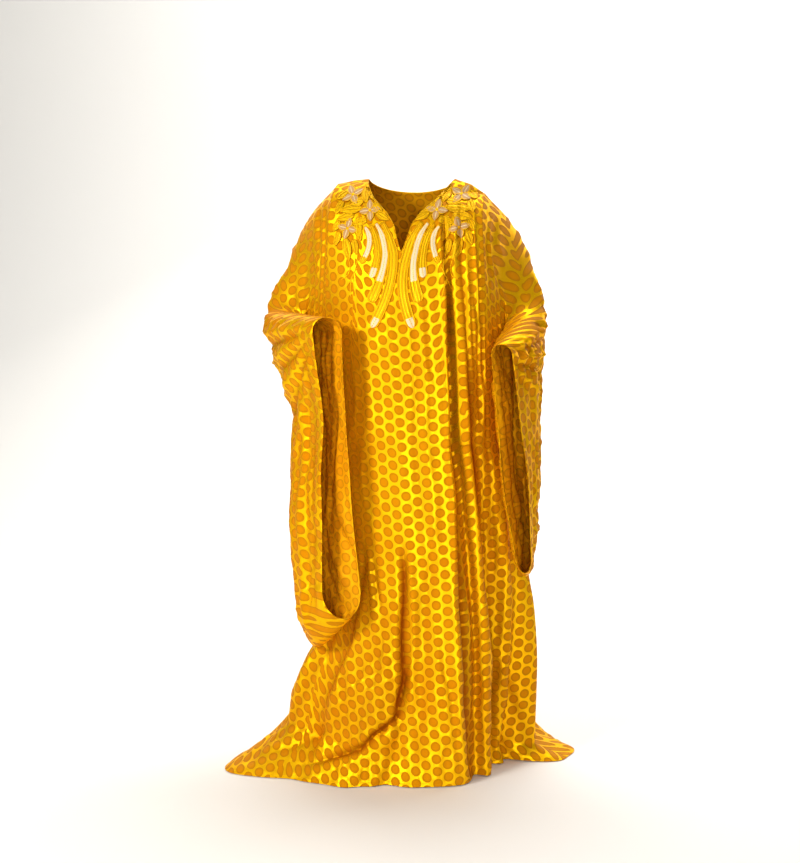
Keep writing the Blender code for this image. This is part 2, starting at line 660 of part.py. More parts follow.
def build():
    for old in list(bpy.data.objects):
        bpy.data.objects.remove(old, do_unlink=True)
    cloth = joined_cloth()
    damask = fabric("damask", (0.72, 0.36, 0.02), 0.38)
    panel = None
    for number, name in enumerate(PIECES):
        sheet = cut_piece(cloth, number)
        thicken(sheet, WALL)
        if name == "front":
            panel = BVHTree.FromBMesh(sheet)
        finish_object(name, sheet, damask)
    cloth.free()
    gold = fabric("gold_thread", (0.80, 0.45, 0.05), 0.35)
    cream = fabric("cream_thread", (0.80, 0.74, 0.60), 0.45)
    trims = (
        ("band", BANDS, band_sheet, gold),
        ("flower", FLOWERS, flower_sheet, cream),
        ("leaf", LEAVES, leaf_sheet, gold),
    )
    for side, side_name in ((-1, "right"), (1, "left")):
        for kind, rows, make_sheet, thread in trims:
            for number, row in enumerate(rows, 1):
                sheet = make_sheet(row)
                lay_on(panel, sheet, side)
                finish_object(f"{kind}_{side_name}_{number}", sheet, thread)


build()
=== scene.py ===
"""Looks of the floor-length damask kaftan: fine cloth with its creases, woven dots, and the
stitched ornament round the neck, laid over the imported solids.

The cloth is made from the same sections, rings and folds as the solids, at a finer spacing. Metres,
+Z up. The origin is the middle of the shoulder line, the front faces -Y, and the dress's right side,
as worn, is -X. A drop is a distance below the origin.
"""

import math
from collections import namedtuple

import bmesh
import bpy
import numpy as np
from mathutils import Matrix, Vector, noise
from mathutils.bvhtree import BVHTree


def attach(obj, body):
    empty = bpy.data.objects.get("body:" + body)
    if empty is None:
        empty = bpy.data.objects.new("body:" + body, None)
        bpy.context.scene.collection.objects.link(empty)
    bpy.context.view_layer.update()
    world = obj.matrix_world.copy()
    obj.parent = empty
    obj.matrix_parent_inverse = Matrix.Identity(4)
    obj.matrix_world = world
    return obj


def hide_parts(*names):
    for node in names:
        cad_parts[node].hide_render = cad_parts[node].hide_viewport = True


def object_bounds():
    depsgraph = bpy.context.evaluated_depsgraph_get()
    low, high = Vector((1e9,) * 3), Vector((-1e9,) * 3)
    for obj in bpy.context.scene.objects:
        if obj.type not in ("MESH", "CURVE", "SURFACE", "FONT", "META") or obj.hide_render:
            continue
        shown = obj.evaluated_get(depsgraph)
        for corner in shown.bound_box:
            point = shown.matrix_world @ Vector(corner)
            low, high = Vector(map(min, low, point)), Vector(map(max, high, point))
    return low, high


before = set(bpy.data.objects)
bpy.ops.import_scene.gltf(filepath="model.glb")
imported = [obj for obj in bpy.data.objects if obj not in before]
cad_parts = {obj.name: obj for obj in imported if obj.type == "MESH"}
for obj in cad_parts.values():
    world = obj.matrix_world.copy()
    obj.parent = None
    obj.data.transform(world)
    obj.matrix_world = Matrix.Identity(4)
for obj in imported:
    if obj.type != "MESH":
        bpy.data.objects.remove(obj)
cad_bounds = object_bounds()

# The cloth's own thickness, and the floor's drop
THICKNESS = 0.0009
FLOOR = 1.405

# The neck and the shoulders, half of each width, and how the cloth rounds over them
NECK_HALF = 0.105
SHOULDER_HALF = 0.175
SHOULDER_ROLL = 0.10
BACK_NECK_DROP = 0.030

# The armhole, and how far round a section its edges stand at the chest
ARMHOLE_DROP = 0.62
ARMHOLE_HALF = 0.212
CHEST_TURN = math.radians(50)
CLOSING_STARTS = 0.36

# The hem, where the cloth turns outwards along the floor
TURN_OUT_POWER = 1.3

# A panel's folds and creases are as wide as they would be round this radius. A fold rises from a
# little above its start, and fades out towards an armhole's edge. The left side seam's shift to the
# back starts at this share of the width.
FOLD_RADIUS = 0.21
FOLD_STARTS_ABOVE = 0.02
FOLD_FULL_BELOW = 0.18
EDGE_FADE = (0.75, 0.98)
EDGE_FADE_DROP = 0.25
LEFT_AFT_STARTS = 0.25

# How finely the cloth is divided, and how much its rows crowd at the ends of the armhole and at
# the hem. A panel's columns are counted on one side of the middle. Points nearer to each other than
# the last number are joined.
ARMHOLE_ROWS = 96
SKIRT_ROWS = 130
END_CROWDING = 0.75
HEM_CROWDING = 1.55
NECK_COLUMNS = 66
BACK_NECK_COLUMNS = 28
SHOULDER_COLUMNS = 42
SLEEVE_COLUMNS = 104
WELD = 1e-5

# How far the shoulder line lies below the origin on each side. Over the neck it is carried on.
ShoulderPoint = namedtuple("ShoulderPoint", "half right left")
SHOULDERS = (
    ShoulderPoint(0.00, -0.030, -0.028),
    ShoulderPoint(NECK_HALF, 0.000, 0.004),
    ShoulderPoint(0.14, 0.003, 0.016),
    ShoulderPoint(SHOULDER_HALF, 0.010, 0.040),
)

# A section across the dress: its half-widths on the right and on the left, its depths in front
# and behind, and how far back the left side seam stands
Section = namedtuple("Section", "drop right left front back left_aft")
SECTIONS = (
    Section(0.000, 0.175, 0.175, 0.070, 0.060, 0.000),
    Section(0.045, 0.178, 0.175, 0.090, 0.080, 0.000),
    Section(0.100, 0.181, 0.179, 0.115, 0.100, 0.000),
    Section(0.180, 0.186, 0.184, 0.140, 0.114, 0.000),
    Section(0.260, 0.190, 0.189, 0.152, 0.121, 0.000),
    Section(0.360, 0.197, 0.196, 0.152, 0.122, 0.000),
    Section(0.500, 0.205, 0.204, 0.153, 0.120, 0.000),
    Section(0.620, 0.212, 0.212, 0.160, 0.135, 0.000),
    Section(0.700, 0.208, 0.234, 0.162, 0.144, 0.004),
    Section(0.800, 0.206, 0.250, 0.166, 0.155, 0.008),
    Section(0.920, 0.209, 0.268, 0.172, 0.165, 0.016),
    Section(1.020, 0.212, 0.286, 0.178, 0.174, 0.024),
    Section(1.100, 0.224, 0.294, 0.184, 0.182, 0.030),
    Section(1.160, 0.262, 0.298, 0.190, 0.188, 0.035),
    Section(1.220, 0.288, 0.299, 0.196, 0.195, 0.040),
    Section(1.290, 0.302, 0.300, 0.202, 0.202, 0.046),
    Section(1.405, 0.312, 0.304, 0.212, 0.215, 0.055),
)

# The front's neck, which ends in the slit at the middle
NeckPoint = namedtuple("NeckPoint", "half drop")
FRONT_NECK = (
    NeckPoint(0.000, 0.180),
    NeckPoint(0.010, 0.150),
    NeckPoint(0.018, 0.122),
    NeckPoint(0.030, 0.100),
    NeckPoint(0.050, 0.076),
    NeckPoint(0.070, 0.056),
    NeckPoint(0.088, 0.030),
    NeckPoint(NECK_HALF, 0.002),
)

# The hem's reach over the floor, and the height at which the cloth starts to turn outwards. Turns
# are degrees round from the middle front, + to the dress's left.
Reach = namedtuple("Reach", "turn out rise")
REACHES = (
    Reach(-180, 0.050, 0.090),
    Reach(-130, 0.050, 0.090),
    Reach(-100, 0.070, 0.100),
    Reach(-82, 0.105, 0.105),
    Reach(-67, 0.150, 0.098),
    Reach(-54, 0.124, 0.098),
    Reach(-40, 0.080, 0.090),
    Reach(-20, 0.034, 0.080),
    Reach(0, 0.022, 0.070),
    Reach(15, 0.004, 0.060),
    Reach(40, 0.002, 0.050),
    Reach(70, 0.030, 0.040),
    Reach(88, 0.076, 0.034),
    Reach(100, 0.098, 0.036),
    Reach(115, 0.060, 0.060),
    Reach(150, 0.050, 0.090),
    Reach(180, 0.050, 0.090),
)

# A fold stands out from the cloth, or in where its depth is negative. Its turn goes from the first
# to the hem's, and it is as wide as before and after say on its two sides.
Fold = namedtuple("Fold", "turn hem_turn bend start before after depth hem_depth")
FOLDS = (
    Fold(56, 62, 0, 0.55, 0.055, 0.075, -0.004, -0.085),
    Fold(37, 38, 0, 0.10, 0.010, 0.024, -0.016, -0.032),
    Fold(30, 30, 0, 0.30, 0.040, 0.012, 0.004, 0.012),
    Fold(47, 44, 0, 0.30, 0.016, 0.016, 0.010, 0.022),
    Fold(60, 52, 0, 0.36, 0.016, 0.016, -0.014, -0.024),
    Fold(74, 61, 0, 0.66, 0.018, 0.018, 0.010, 0.020),
    Fold(87, 71, 0, 0.70, 0.018, 0.018, -0.010, -0.022),
    Fold(98, 84, 0, 0.70, 0.020, 0.022, 0.008, 0.018),
    Fold(5, -4, 5, 0.88, 0.014, 0.030, -0.006, -0.022),
    Fold(-5, -19, 4, 0.98, 0.030, 0.016, 0.006, 0.018),
    Fold(-36, -43, 0, 0.75, 0.026, 0.022, -0.006, -0.014),
    Fold(-52, -62, 0, 0.70, 0.026, 0.026, 0.006, 0.022),
    Fold(-72, -80, 0, 0.70, 0.024, 0.024, -0.006, -0.022),
    Fold(-128, -118, 0, 0.30, 0.030, 0.030, 0.006, 0.026),
    Fold(-142, -136, 0, 0.20, 0.026, 0.026, -0.008, -0.026),
    Fold(-156, -152, 0, 0.12, 0.026, 0.030, 0.006, 0.024),
    Fold(-169, -167, 0, 0.12, 0.024, 0.024, -0.006, -0.022),
    Fold(180, 180, 0, 0.10, 0.026, 0.026, 0.006, 0.020),
    Fold(170, 168, 0, 0.12, 0.024, 0.024, -0.008, -0.026),
    Fold(157, 154, 0, 0.14, 0.026, 0.026, 0.006, 0.024),
    Fold(144, 138, 0, 0.22, 0.024, 0.028, -0.008, -0.026),
    Fold(130, 120, 0, 0.30, 0.030, 0.030, 0.006, 0.024),
)

# A sleeve ring: where it hangs from on the arm, its lowest point, the way that its outer side faces,
# as degrees round from straight behind, how far it sways, and half its thickness at four heights.
Ring = namedtuple("Ring", "along out y drop low_out low_y low_drop turn sway upper nip belly tail")
RIGHT_SLEEVE = (
    Ring(0.00, 0.175, 0.000, 0.010, 0.212, 0.000, 0.620, 0, 0.000, 0.088, 0.096, 0.080, 0.020),
    Ring(0.22, 0.252, 0.012, 0.085, 0.262, 0.010, 0.650, 24, 0.000, 0.076, 0.056, 0.044, 0.014),
    Ring(0.44, 0.294, 0.016, 0.198, 0.268, 0.016, 0.970, 52, -0.026, 0.056, 0.018, 0.026, 0.010),
    Ring(0.62, 0.322, -0.010, 0.302, 0.237, -0.052, 1.105, 78, -0.030, 0.047, 0.018, 0.016, 0.008),
    Ring(0.80, 0.250, -0.100, 0.318, 0.214, -0.164, 1.146, 106, -0.014, 0.044, 0.024, 0.030, 0.016),
    Ring(1.00, 0.160, -0.205, 0.325, 0.120, -0.224, 1.015, 96, -0.006, 0.034, 0.026, 0.034, 0.046),
)
LEFT_SLEEVE = (
    Ring(0.00, 0.175, 0.000, 0.040, 0.212, 0.000, 0.620, 0, 0.0, 0.088, 0.096, 0.080, 0.020),
    Ring(0.22, 0.224, 0.012, 0.105, 0.256, 0.012, 0.665, 22, 0.0, 0.076, 0.060, 0.044, 0.014),
    Ring(0.44, 0.252, 0.020, 0.200, 0.270, 0.020, 0.860, 42, 0.0, 0.058, 0.038, 0.032, 0.012),
    Ring(0.62, 0.276, 0.006, 0.300, 0.282, -0.004, 0.925, 68, 0.0, 0.042, 0.028, 0.028, 0.010),
    Ring(0.80, 0.262, -0.080, 0.345, 0.286, -0.085, 0.940, 88, 0.0, 0.040, 0.030, 0.030, 0.014),
    Ring(1.00, 0.234, -0.175, 0.385, 0.292, -0.165, 0.905, 72, 0.0, 0.024, 0.026, 0.030, 0.018),
)

# A sleeve's fold runs down its inner face, -1, or its outer face, 1, from one place along the
# sleeve and height to another.
SleeveFold = namedtuple("SleeveFold", "face along low_along top low width depth")
RIGHT_SLEEVE_FOLDS = (
    SleeveFold(1, 0.47, 0.58, 0.36, 1.00, 0.030, 0.010),
    SleeveFold(1, 0.68, 0.70, 0.16, 0.95, 0.018, -0.010),
    SleeveFold(1, 0.78, 0.80, 0.12, 0.95, 0.016, 0.009),
    SleeveFold(1, 0.88, 0.90, 0.10, 0.95, 0.014, -0.008),
    SleeveFold(-1, 0.16, 0.26, 0.10, 0.50, 0.026, -0.006),
    SleeveFold(-1, 0.74, 0.76, 0.15, 0.95, 0.022, 0.008),
    SleeveFold(-1, 0.87, 0.87, 0.20, 0.95, 0.018, -0.008),
)
LEFT_SLEEVE_FOLDS = (
    SleeveFold(1, 0.50, 0.56, 0.30, 1.00, 0.028, 0.010),
    SleeveFold(1, 0.70, 0.66, 0.20, 0.95, 0.018, -0.010),
    SleeveFold(1, 0.82, 0.80, 0.16, 0.95, 0.016, 0.008),
    SleeveFold(-1, 0.16, 0.26, 0.10, 0.50, 0.026, -0.006),
    SleeveFold(-1, 0.76, 0.76, 0.18, 0.95, 0.020, 0.008),
    SleeveFold(-1, 0.88, 0.88, 0.20, 0.95, 0.016, -0.007),
)

# A sleeve's mean length, how softly its folds end, how much of its thickness they may take, and
# where they fade in along it and down its rings
SLEEVE_LENGTH = 0.50
FOLD_ENDS = 0.08
RELIEF_SHARE = 0.5
ARMHOLE_FADE = 0.12
TOP_FADE = 0.10
BOTTOM_FADE = 0.92

# A ring is narrowest below the arm and widens again below that. The sleeve sways round the narrow
# place, and its inner face is evened out along the sleeve this many times. The cloth over the arm
# is held, and the outer face is free only near its bottom.
NIP_HEIGHT = 0.33
BELLY_HEIGHT = 0.56
NIP_REACH = 0.14
CAP_MARGIN = 0.02
EVENINGS = 380
FREE_BELOW = 0.12
OUTER_FREE_BELOW = 0.86

# The raised embroidery round the neck. Halves are distances from the front's middle line, which
# leans to the dress's right below the slit.
MIDDLE_SHIFT = -0.002
MIDDLE_LEAN = -0.10
SLIT_DROP = 0.180

# A band curves from the flowers towards the slit and out again to its tip
Band = namedtuple("Band", "half drop bow bow_drop tip tip_drop width")
BANDS = (
    Band(0.047, 0.109, -0.022, 0.218, 0.0485, 0.350, 0.0180),
    Band(0.062, 0.111, 0.008, 0.180, 0.0570, 0.292, 0.0130),
    Band(0.076, 0.113, 0.039, 0.168, 0.0610, 0.236, 0.0115),
    Band(0.089, 0.118, 0.057, 0.150, 0.0910, 0.204, 0.0095),
)

# A flower's middle, and how far round its petals are turned, in degrees
Flower = namedtuple("Flower", "half drop radius turn")
FLOWERS = (
    Flower(0.078, 0.081, 0.020, 8),
    Flower(0.126, 0.042, 0.021, 30),
    Flower(0.130, 0.122, 0.020, -15),
)
PETALS = 4

# A leaf from its stem to its tip
Leaf = namedtuple("Leaf", "half drop tip tip_drop width")
LEAVES = (
    Leaf(0.058, 0.089, 0.034, 0.103, 0.010),
    Leaf(0.091, 0.057, 0.101, 0.028, 0.010),
    Leaf(0.104, 0.076, 0.150, 0.080, 0.015),
    Leaf(0.102, 0.100, 0.103, 0.144, 0.012),
    Leaf(0.134, 0.148, 0.122, 0.192, 0.014),
)

# Creases finer than the folds. Each runs straight from its first place to its second, and stands
# out, or in where its depth is negative. On a panel, across is the turn in degrees. On a sleeve it
# is the share along the sleeve, and down is the share of the ring's height.
Crease = namedtuple("Crease", "across down low_across low_down width depth")
FRONT_CREASES = (
    Crease(28.5, 0.120, 31.8, 0.270, 0.0070, 0.0050),
    Crease(31.4, 0.270, 30.1, 0.750, 0.0060, 0.0060),
    Crease(30.1, 0.750, 27.1, 0.980, 0.0060, 0.0060),
    Crease(27.1, 0.980, 27.6, 1.210, 0.0060, 0.0060),
    Crease(27.6, 1.210, 31.1, 1.390, 0.0060, 0.0060),
    Crease(32.2, 0.120, 35.8, 0.270, 0.0060, -0.0120),
    Crease(35.8, 0.270, 34.7, 0.750, 0.0065, -0.0210),
    Crease(34.7, 0.750, 31.7, 0.980, 0.0065, -0.0210),
    Crease(31.7, 0.980, 32.2, 1.210, 0.0065, -0.0210),
    Crease(32.2, 1.210, 35.5, 1.390, 0.0065, -0.0180),
    Crease(42.0, 0.100, 42.5, 1.300, 0.0080, 0.0060),
    Crease(47.0, 0.080, 50.0, 0.450, 0.0090, -0.0050),
    Crease(50.0, 0.450, 52.0, 1.340, 0.0120, -0.0110),
    Crease(57.5, 0.300, 59.5, 1.320, 0.0100, 0.0040),
    Crease(64.0, 0.080, 63.0, 0.600, 0.0080, 0.0060),
    Crease(2.5, 0.880, 3.5, 1.170, 0.0060, -0.0130),
    Crease(3.5, 1.170, 0.5, 1.250, 0.0060, -0.0170),
    Crease(0.5, 1.250, -13.0, 1.315, 0.0060, -0.0170),
    Crease(-13.0, 1.315, -34.0, 1.365, 0.0060, -0.0120),
    Crease(7.0, 0.900, 7.5, 1.200, 0.0090, 0.0060),
    Crease(7.5, 1.200, -8.0, 1.340, 0.0100, 0.0060),
    Crease(-23.0, 1.217, 3.5, 1.142, 0.0060, 0.0035),
    Crease(-26.0, 1.190, -2.0, 1.120, 0.0060, -0.0035),
    Crease(-17.0, 0.900, -11.0, 1.010, 0.0060, -0.0045),
    Crease(-20.0, 0.880, -13.0, 1.060, 0.0080, 0.0045),
    Crease(-24.0, 0.880, -40.0, 1.240, 0.0120, -0.0060),
    Crease(15.0, 0.280, 19.5, 0.900, 0.0100, 0.0035),
    Crease(9.0, 0.260, 11.5, 0.800, 0.0090, -0.0030),
    Crease(-8.0, 0.300, 3.0, 0.720, 0.0090, 0.0030),
    Crease(53.0, 0.220, 48.0, 1.300, 0.0070, 0.0040),
    Crease(66.0, 0.400, 57.0, 1.320, 0.0080, -0.0050),
    Crease(26.0, 0.800, 24.0, 1.340, 0.0100, 0.0025),
    Crease(16.0, 0.860, 10.0, 1.360, 0.0120, -0.0035),
    Crease(8.0, 0.950, 4.0, 1.360, 0.0090, 0.0030),
    Crease(-9.0, 1.020, -16.0, 1.300, 0.0100, -0.0030),
    Crease(-14.0, 1.140, -40.0, 1.240, 0.0120, 0.0045),
    Crease(-12.0, 1.100, -42.0, 1.300, 0.0100, -0.0040),
    Crease(-20.0, 1.180, -52.0, 1.340, 0.0110, 0.0045),
    Crease(-26.0, 1.260, -60.0, 1.380, 0.0100, -0.0040),
    Crease(-30.0, 1.060, -38.0, 1.380, 0.0120, 0.0045),
    Crease(-48.0, 1.060, -62.0, 1.380, 0.0100, -0.0045),
    Crease(-58.0, 1.100, -72.0, 1.380, 0.0100, 0.0045),
    Crease(6.0, 0.300, -30.0, 0.340, 0.0100, -0.0015),
    Crease(-6.0, 0.360, -34.0, 0.460, 0.0120, 0.0018),
    Crease(70.0, 0.200, 60.0, 0.420, 0.0080, -0.0040),
    Crease(76.0, 0.300, 62.0, 0.560, 0.0080, 0.0040),
    Crease(20.0, 1.100, 30.0, 1.360, 0.0100, -0.0030),
    Crease(60.0, 1.120, 74.0, 1.370, 0.0100, 0.0045),
    Crease(70.0, 1.160, 84.0, 1.380, 0.0090, -0.0045),
)

# Where a fold shades the front. The last number is how dark the shade is, not a depth.
FRONT_SHADES = (
    Crease(31.8, 0.120, 35.2, 0.270, 0.0046, 0.80),
    Crease(35.2, 0.270, 33.6, 0.750, 0.0046, 0.95),
    Crease(33.6, 0.750, 30.6, 0.980, 0.0046, 0.95),
    Crease(30.6, 0.980, 31.0, 1.210, 0.0046, 0.90),
    Crease(31.0, 1.210, 34.4, 1.390, 0.0046, 0.85),
    Crease(37.6, 0.120, 37.6, 0.750, 0.0100, 0.28),
    Crease(37.6, 0.750, 35.4, 1.360, 0.0100, 0.28),
    Crease(46.0, 0.100, 49.5, 0.450, 0.0090, 0.35),
    Crease(49.5, 0.450, 51.5, 1.340, 0.0120, 0.62),
    Crease(60.0, 0.300, 60.0, 1.300, 0.0250, 0.18),
    Crease(2.5, 0.880, 3.5, 1.170, 0.0060, 0.60),
    Crease(3.5, 1.170, 0.5, 1.250, 0.0060, 0.75),
    Crease(0.5, 1.250, -13.0, 1.315, 0.0060, 0.65),
    Crease(-13.0, 1.315, -34.0, 1.365, 0.0060, 0.40),
    Crease(-6.0, 0.980, -12.0, 1.300, 0.0450, 0.20),
    Crease(-30.0, 1.020, -44.0, 1.360, 0.0450, 0.16),
)

BACK_CREASES = (
    Crease(176.0, 0.16, 176.0, 1.30, 0.010, -0.0040),
    Crease(164.0, 0.20, 160.0, 1.34, 0.010, 0.0040),
    Crease(150.0, 0.24, 146.0, 1.36, 0.009, -0.0040),
    Crease(136.0, 0.40, 128.0, 1.36, 0.010, 0.0045),
    Crease(122.0, 0.56, 112.0, 1.36, 0.010, -0.0045),
    Crease(-174.0, 0.18, -173.0, 1.32, 0.010, 0.0040),
    Crease(-162.0, 0.22, -160.0, 1.36, 0.010, -0.0040),
    Crease(-149.0, 0.26, -144.0, 1.36, 0.009, 0.0040),
    Crease(-134.0, 0.44, -126.0, 1.36, 0.010, -0.0045),
    Crease(-120.0, 0.60, -110.0, 1.36, 0.010, 0.0045),
    Crease(-150.0, 0.10, -166.0, 0.30, 0.010, 0.0030),
    Crease(150.0, 0.10, 166.0, 0.30, 0.010, -0.0030),
)
RIGHT_OUTER_CREASES = (
    Crease(0.10, 0.06, 0.16, 0.50, 0.010, 0.0035),
    Crease(0.22, 0.05, 0.28, 0.80, 0.009, -0.0040),
    Crease(0.32, 0.05, 0.40, 0.92, 0.010, 0.0045),
    Crease(0.40, 0.06, 0.50, 0.40, 0.008, -0.0040),
    Crease(0.52, 0.05, 0.56, 0.50, 0.008, 0.0040),
    Crease(0.90, 0.04, 0.60, 0.07, 0.008, 0.0070),
    Crease(0.90, 0.06, 0.58, 0.12, 0.007, -0.0090),
    Crease(0.90, 0.08, 0.60, 0.17, 0.008, 0.0090),
    Crease(0.91, 0.10, 0.62, 0.23, 0.007, -0.0090),
    Crease(0.92, 0.12, 0.66, 0.29, 0.008, 0.0080),
    Crease(0.93, 0.14, 0.72, 0.35, 0.007, -0.0080),
    Crease(0.94, 0.16, 0.78, 0.42, 0.008, 0.0070),
    Crease(0.44, 0.04, 0.52, 0.22, 0.008, -0.0080),
    Crease(0.50, 0.03, 0.60, 0.20, 0.008, 0.0080),
    Crease(0.40, 0.14, 0.58, 0.26, 0.009, 0.0070),
    Crease(0.23, 0.11, 0.05, 0.48, 0.010, -0.0080),
    Crease(0.30, 0.10, 0.12, 0.52, 0.010, 0.0080),
    Crease(0.12, 0.06, 0.02, 0.30, 0.009, -0.0060),
    Crease(0.60, 0.30, 0.63, 0.96, 0.009, -0.0090),
    Crease(0.68, 0.28, 0.70, 0.96, 0.009, 0.0080),
    Crease(0.77, 0.26, 0.78, 0.96, 0.008, -0.0080),
    Crease(0.86, 0.20, 0.86, 0.96, 0.008, 0.0070),
    Crease(0.94, 0.12, 0.94, 0.92, 0.007, -0.0050),
    Crease(0.55, 0.60, 0.72, 0.78, 0.010, 0.0035),
    Crease(0.60, 0.70, 0.80, 0.84, 0.009, -0.0035),
    Crease(0.70, 0.86, 0.95, 0.80, 0.008, 0.0035),
)
RIGHT_INNER_CREASES = (
    Crease(0.95, 0.20, 0.86, 0.62, 0.007, 0.0060),
    Crease(0.88, 0.50, 0.97, 0.72, 0.007, -0.0070),
    Crease(0.90, 0.60, 0.99, 0.82, 0.007, 0.0070),
    Crease(0.84, 0.66, 0.96, 0.90, 0.007, -0.0070),
    Crease(0.80, 0.74, 0.94, 0.96, 0.007, 0.0070),
    Crease(0.12, 0.10, 0.20, 0.60, 0.010, 0.0030),
    Crease(0.66, 0.10, 0.70, 0.60, 0.008, -0.0030),
    Crease(0.80, 0.12, 0.82, 0.86, 0.009, 0.0035),
    Crease(0.92, 0.12, 0.93, 0.90, 0.008, -0.0030),
)
LEFT_OUTER_CREASES = (
    Crease(0.92, 0.03, 0.62, 0.06, 0.007, 0.0070),
    Crease(0.92, 0.05, 0.60, 0.11, 0.007, -0.0080),
    Crease(0.93, 0.08, 0.60, 0.17, 0.007, 0.0080),
    Crease(0.94, 0.11, 0.64, 0.24, 0.007, -0.0080),
    Crease(0.95, 0.14, 0.70, 0.32, 0.007, 0.0070),
    Crease(0.60, 0.50, 0.82, 0.62, 0.008, 0.0060),
    Crease(0.56, 0.60, 0.86, 0.74, 0.008, -0.0070),
    Crease(0.60, 0.72, 0.90, 0.82, 0.008, 0.0070),
    Crease(0.10, 0.08, 0.16, 0.60, 0.010, 0.0035),
    Crease(0.20, 0.06, 0.26, 0.80, 0.009, -0.0040),
    Crease(0.30, 0.06, 0.36, 0.90, 0.010, 0.0040),
    Crease(0.42, 0.04, 0.46, 0.60, 0.008, -0.0045),
    Crease(0.50, 0.03, 0.60, 0.26, 0.008, 0.0045),
    Crease(0.58, 0.02, 0.70, 0.20, 0.007, -0.0045),
    Crease(0.64, 0.02, 0.80, 0.14, 0.007, 0.0040),
    Crease(0.72, 0.02, 0.90, 0.10, 0.006, -0.0035),
    Crease(0.62, 0.28, 0.60, 0.94, 0.009, 0.0040),
    Crease(0.76, 0.20, 0.72, 0.94, 0.009, -0.0045),
    Crease(0.88, 0.16, 0.84, 0.94, 0.008, 0.0040),
    Crease(0.96, 0.12, 0.95, 0.90, 0.007, -0.0030),
)
LEFT_INNER_CREASES = (
    Crease(0.97, 0.16, 0.90, 0.94, 0.008, 0.0080),
    Crease(0.95, 0.14, 0.82, 0.94, 0.008, -0.0100),
    Crease(0.92, 0.12, 0.74, 0.94, 0.008, 0.0100),
    Crease(0.88, 0.10, 0.66, 0.92, 0.008, -0.0100),
    Crease(0.83, 0.09, 0.58, 0.88, 0.008, 0.0090),
    Crease(0.12, 0.10, 0.20, 0.60, 0.010, 0.0030),
    Crease(0.70, 0.10, 0.72, 0.84, 0.008, -0.0030),
    Crease(0.84, 0.10, 0.84, 0.90, 0.009, 0.0035),
)

# A sleeve ring's mean fall, how softly a crease ends, and how it wanders off its straight line, as
# a share of its width and in radians for each metre
SLEEVE_FALL = 0.80
CREASE_ENDS = 0.05
CREASE_WANDER = 0.25
WANDER_TURN = 23

# Crumples are uneven ridges that follow the fall of the cloth: how deep they are, how wide they
# run across it and how long down it.
CRUMPLE_DEPTH = 0.0022
CRUMPLE_WIDTH = 0.034
CRUMPLE_LENGTH = 0.15
SLEEVE_CRUMPLE_WIDTH = 0.8 * CRUMPLE_WIDTH
FINE_CRUMPLE_DEPTH = 0.0008
FINE_CRUMPLE_WIDTH = 0.012
FINE_CRUMPLE_LENGTH = 0.030
CRUMPLE_SHARPNESS = 3.2

# The ridges sway to the side by a share of their width, over these distances across and down
SWAY = 0.9
SWAY_WIDTH = 0.11
SWAY_LENGTH = 0.16

# Each sheet's own place in the noise, and the steps from it to its sway's and its fine crumples'
SEEDS = {"front": 3, "back": 11, "sleeve_right": 19, "sleeve_left": 27}
SWAY_SEED = 31
FINE_SEED = 7

# The way that each sheet's right side faces
OUTWARDS = {"front": (0, -1, 0), "back": (0, 1, 0), "sleeve_right": (-1, 0, 0), "sleeve_left": (1, 0, 0)}

# The elbow and the wrist, where a sleeve crumples most, along the sleeve and down its rings
ELBOW = 0.62
ELBOW_WIDTH = 0.22
ELBOW_FALL = 0.32
WRIST = (0.55, 0.9)
WRIST_FALL = 0.25

# How much wide and fine crumples show on a sleeve everywhere, at the elbow and at the wrist
SLEEVE_CRUMPLES = (1.4, 1.6, 1.0)
SLEEVE_FINE_CRUMPLES = (1.2, 1.4, 1.6)

# A panel is smooth over the chest and the shoulders and looser below these drops, and once more
# towards the hem. Each pair is the share that shows everywhere and what comes on top.
FRONT_LOOSENS = (0.30, 0.60)
BACK_LOOSENS = (0.10, 0.40)
HEM_LOOSENS = (0.85, 1.3)
FINE_LOOSENS = (0.9, 1.25)
CHEST_CRUMPLES = (0.30, 0.70)
HEM_CRUMPLES = (0.6, 0.6)
FINE_HEM_CRUMPLES = (0.25, 0.75)

# How far from a seam, a panel's edge and a cuff the creases fade in, and over which share of a
# ring's height. A panel is taken as equally wide on each side everywhere.
SEAM_FADE = 0.03
EDGE_CALM = 0.02
CUFF_CALM = 0.015
RING_CALM = 0.04
PANEL_HALF = 0.3

# The woven dots stand in columns, every other column half a step lower. The columns lean a little
# off the cloth's fall, and a dot is darker towards its rim.
DOT_COLUMN = 0.0250
DOT_STEP = 0.0284
DOT_RADIUS = 0.0112
GRAIN_LEAN = 0.09
DOT_SOFT_EDGE = 0.0008
DOT_RIM_STARTS = 0.45
DOT_RIM_SHARE = 0.50

# Turned hems, and the line of stitches inside each hem's fold: where it runs, half its width with
# a soft edge, and a stitch's step
HEM_WIDTH = 0.009
HEM_SOFT_EDGE = 0.0008
STITCH_INSET = 0.0018
STITCH_HALF = (0.0003, 0.0009)
HEM_STITCH = 0.0034

# The steps of the satin's twill, of the dots' threads and of the ornament's slanting threads
TWILL_STEP = 0.0011
DOT_THREAD_STEP = 0.0009
THREAD_STEP = 0.0009
THREAD_SLANT = 0.35

# The dots' outlines waver, clouds of a warmer colour drift over the cloth, and streaks run down it
WAVER_SCALE = 45
WAVER_SIZE = 0.0022
CLOUD_SCALE = 5
CLOUD_RANGE = (0.30, 0.72)
STREAK_SCALES = (900, 60, 1)
STREAK_SHARE = 0.16

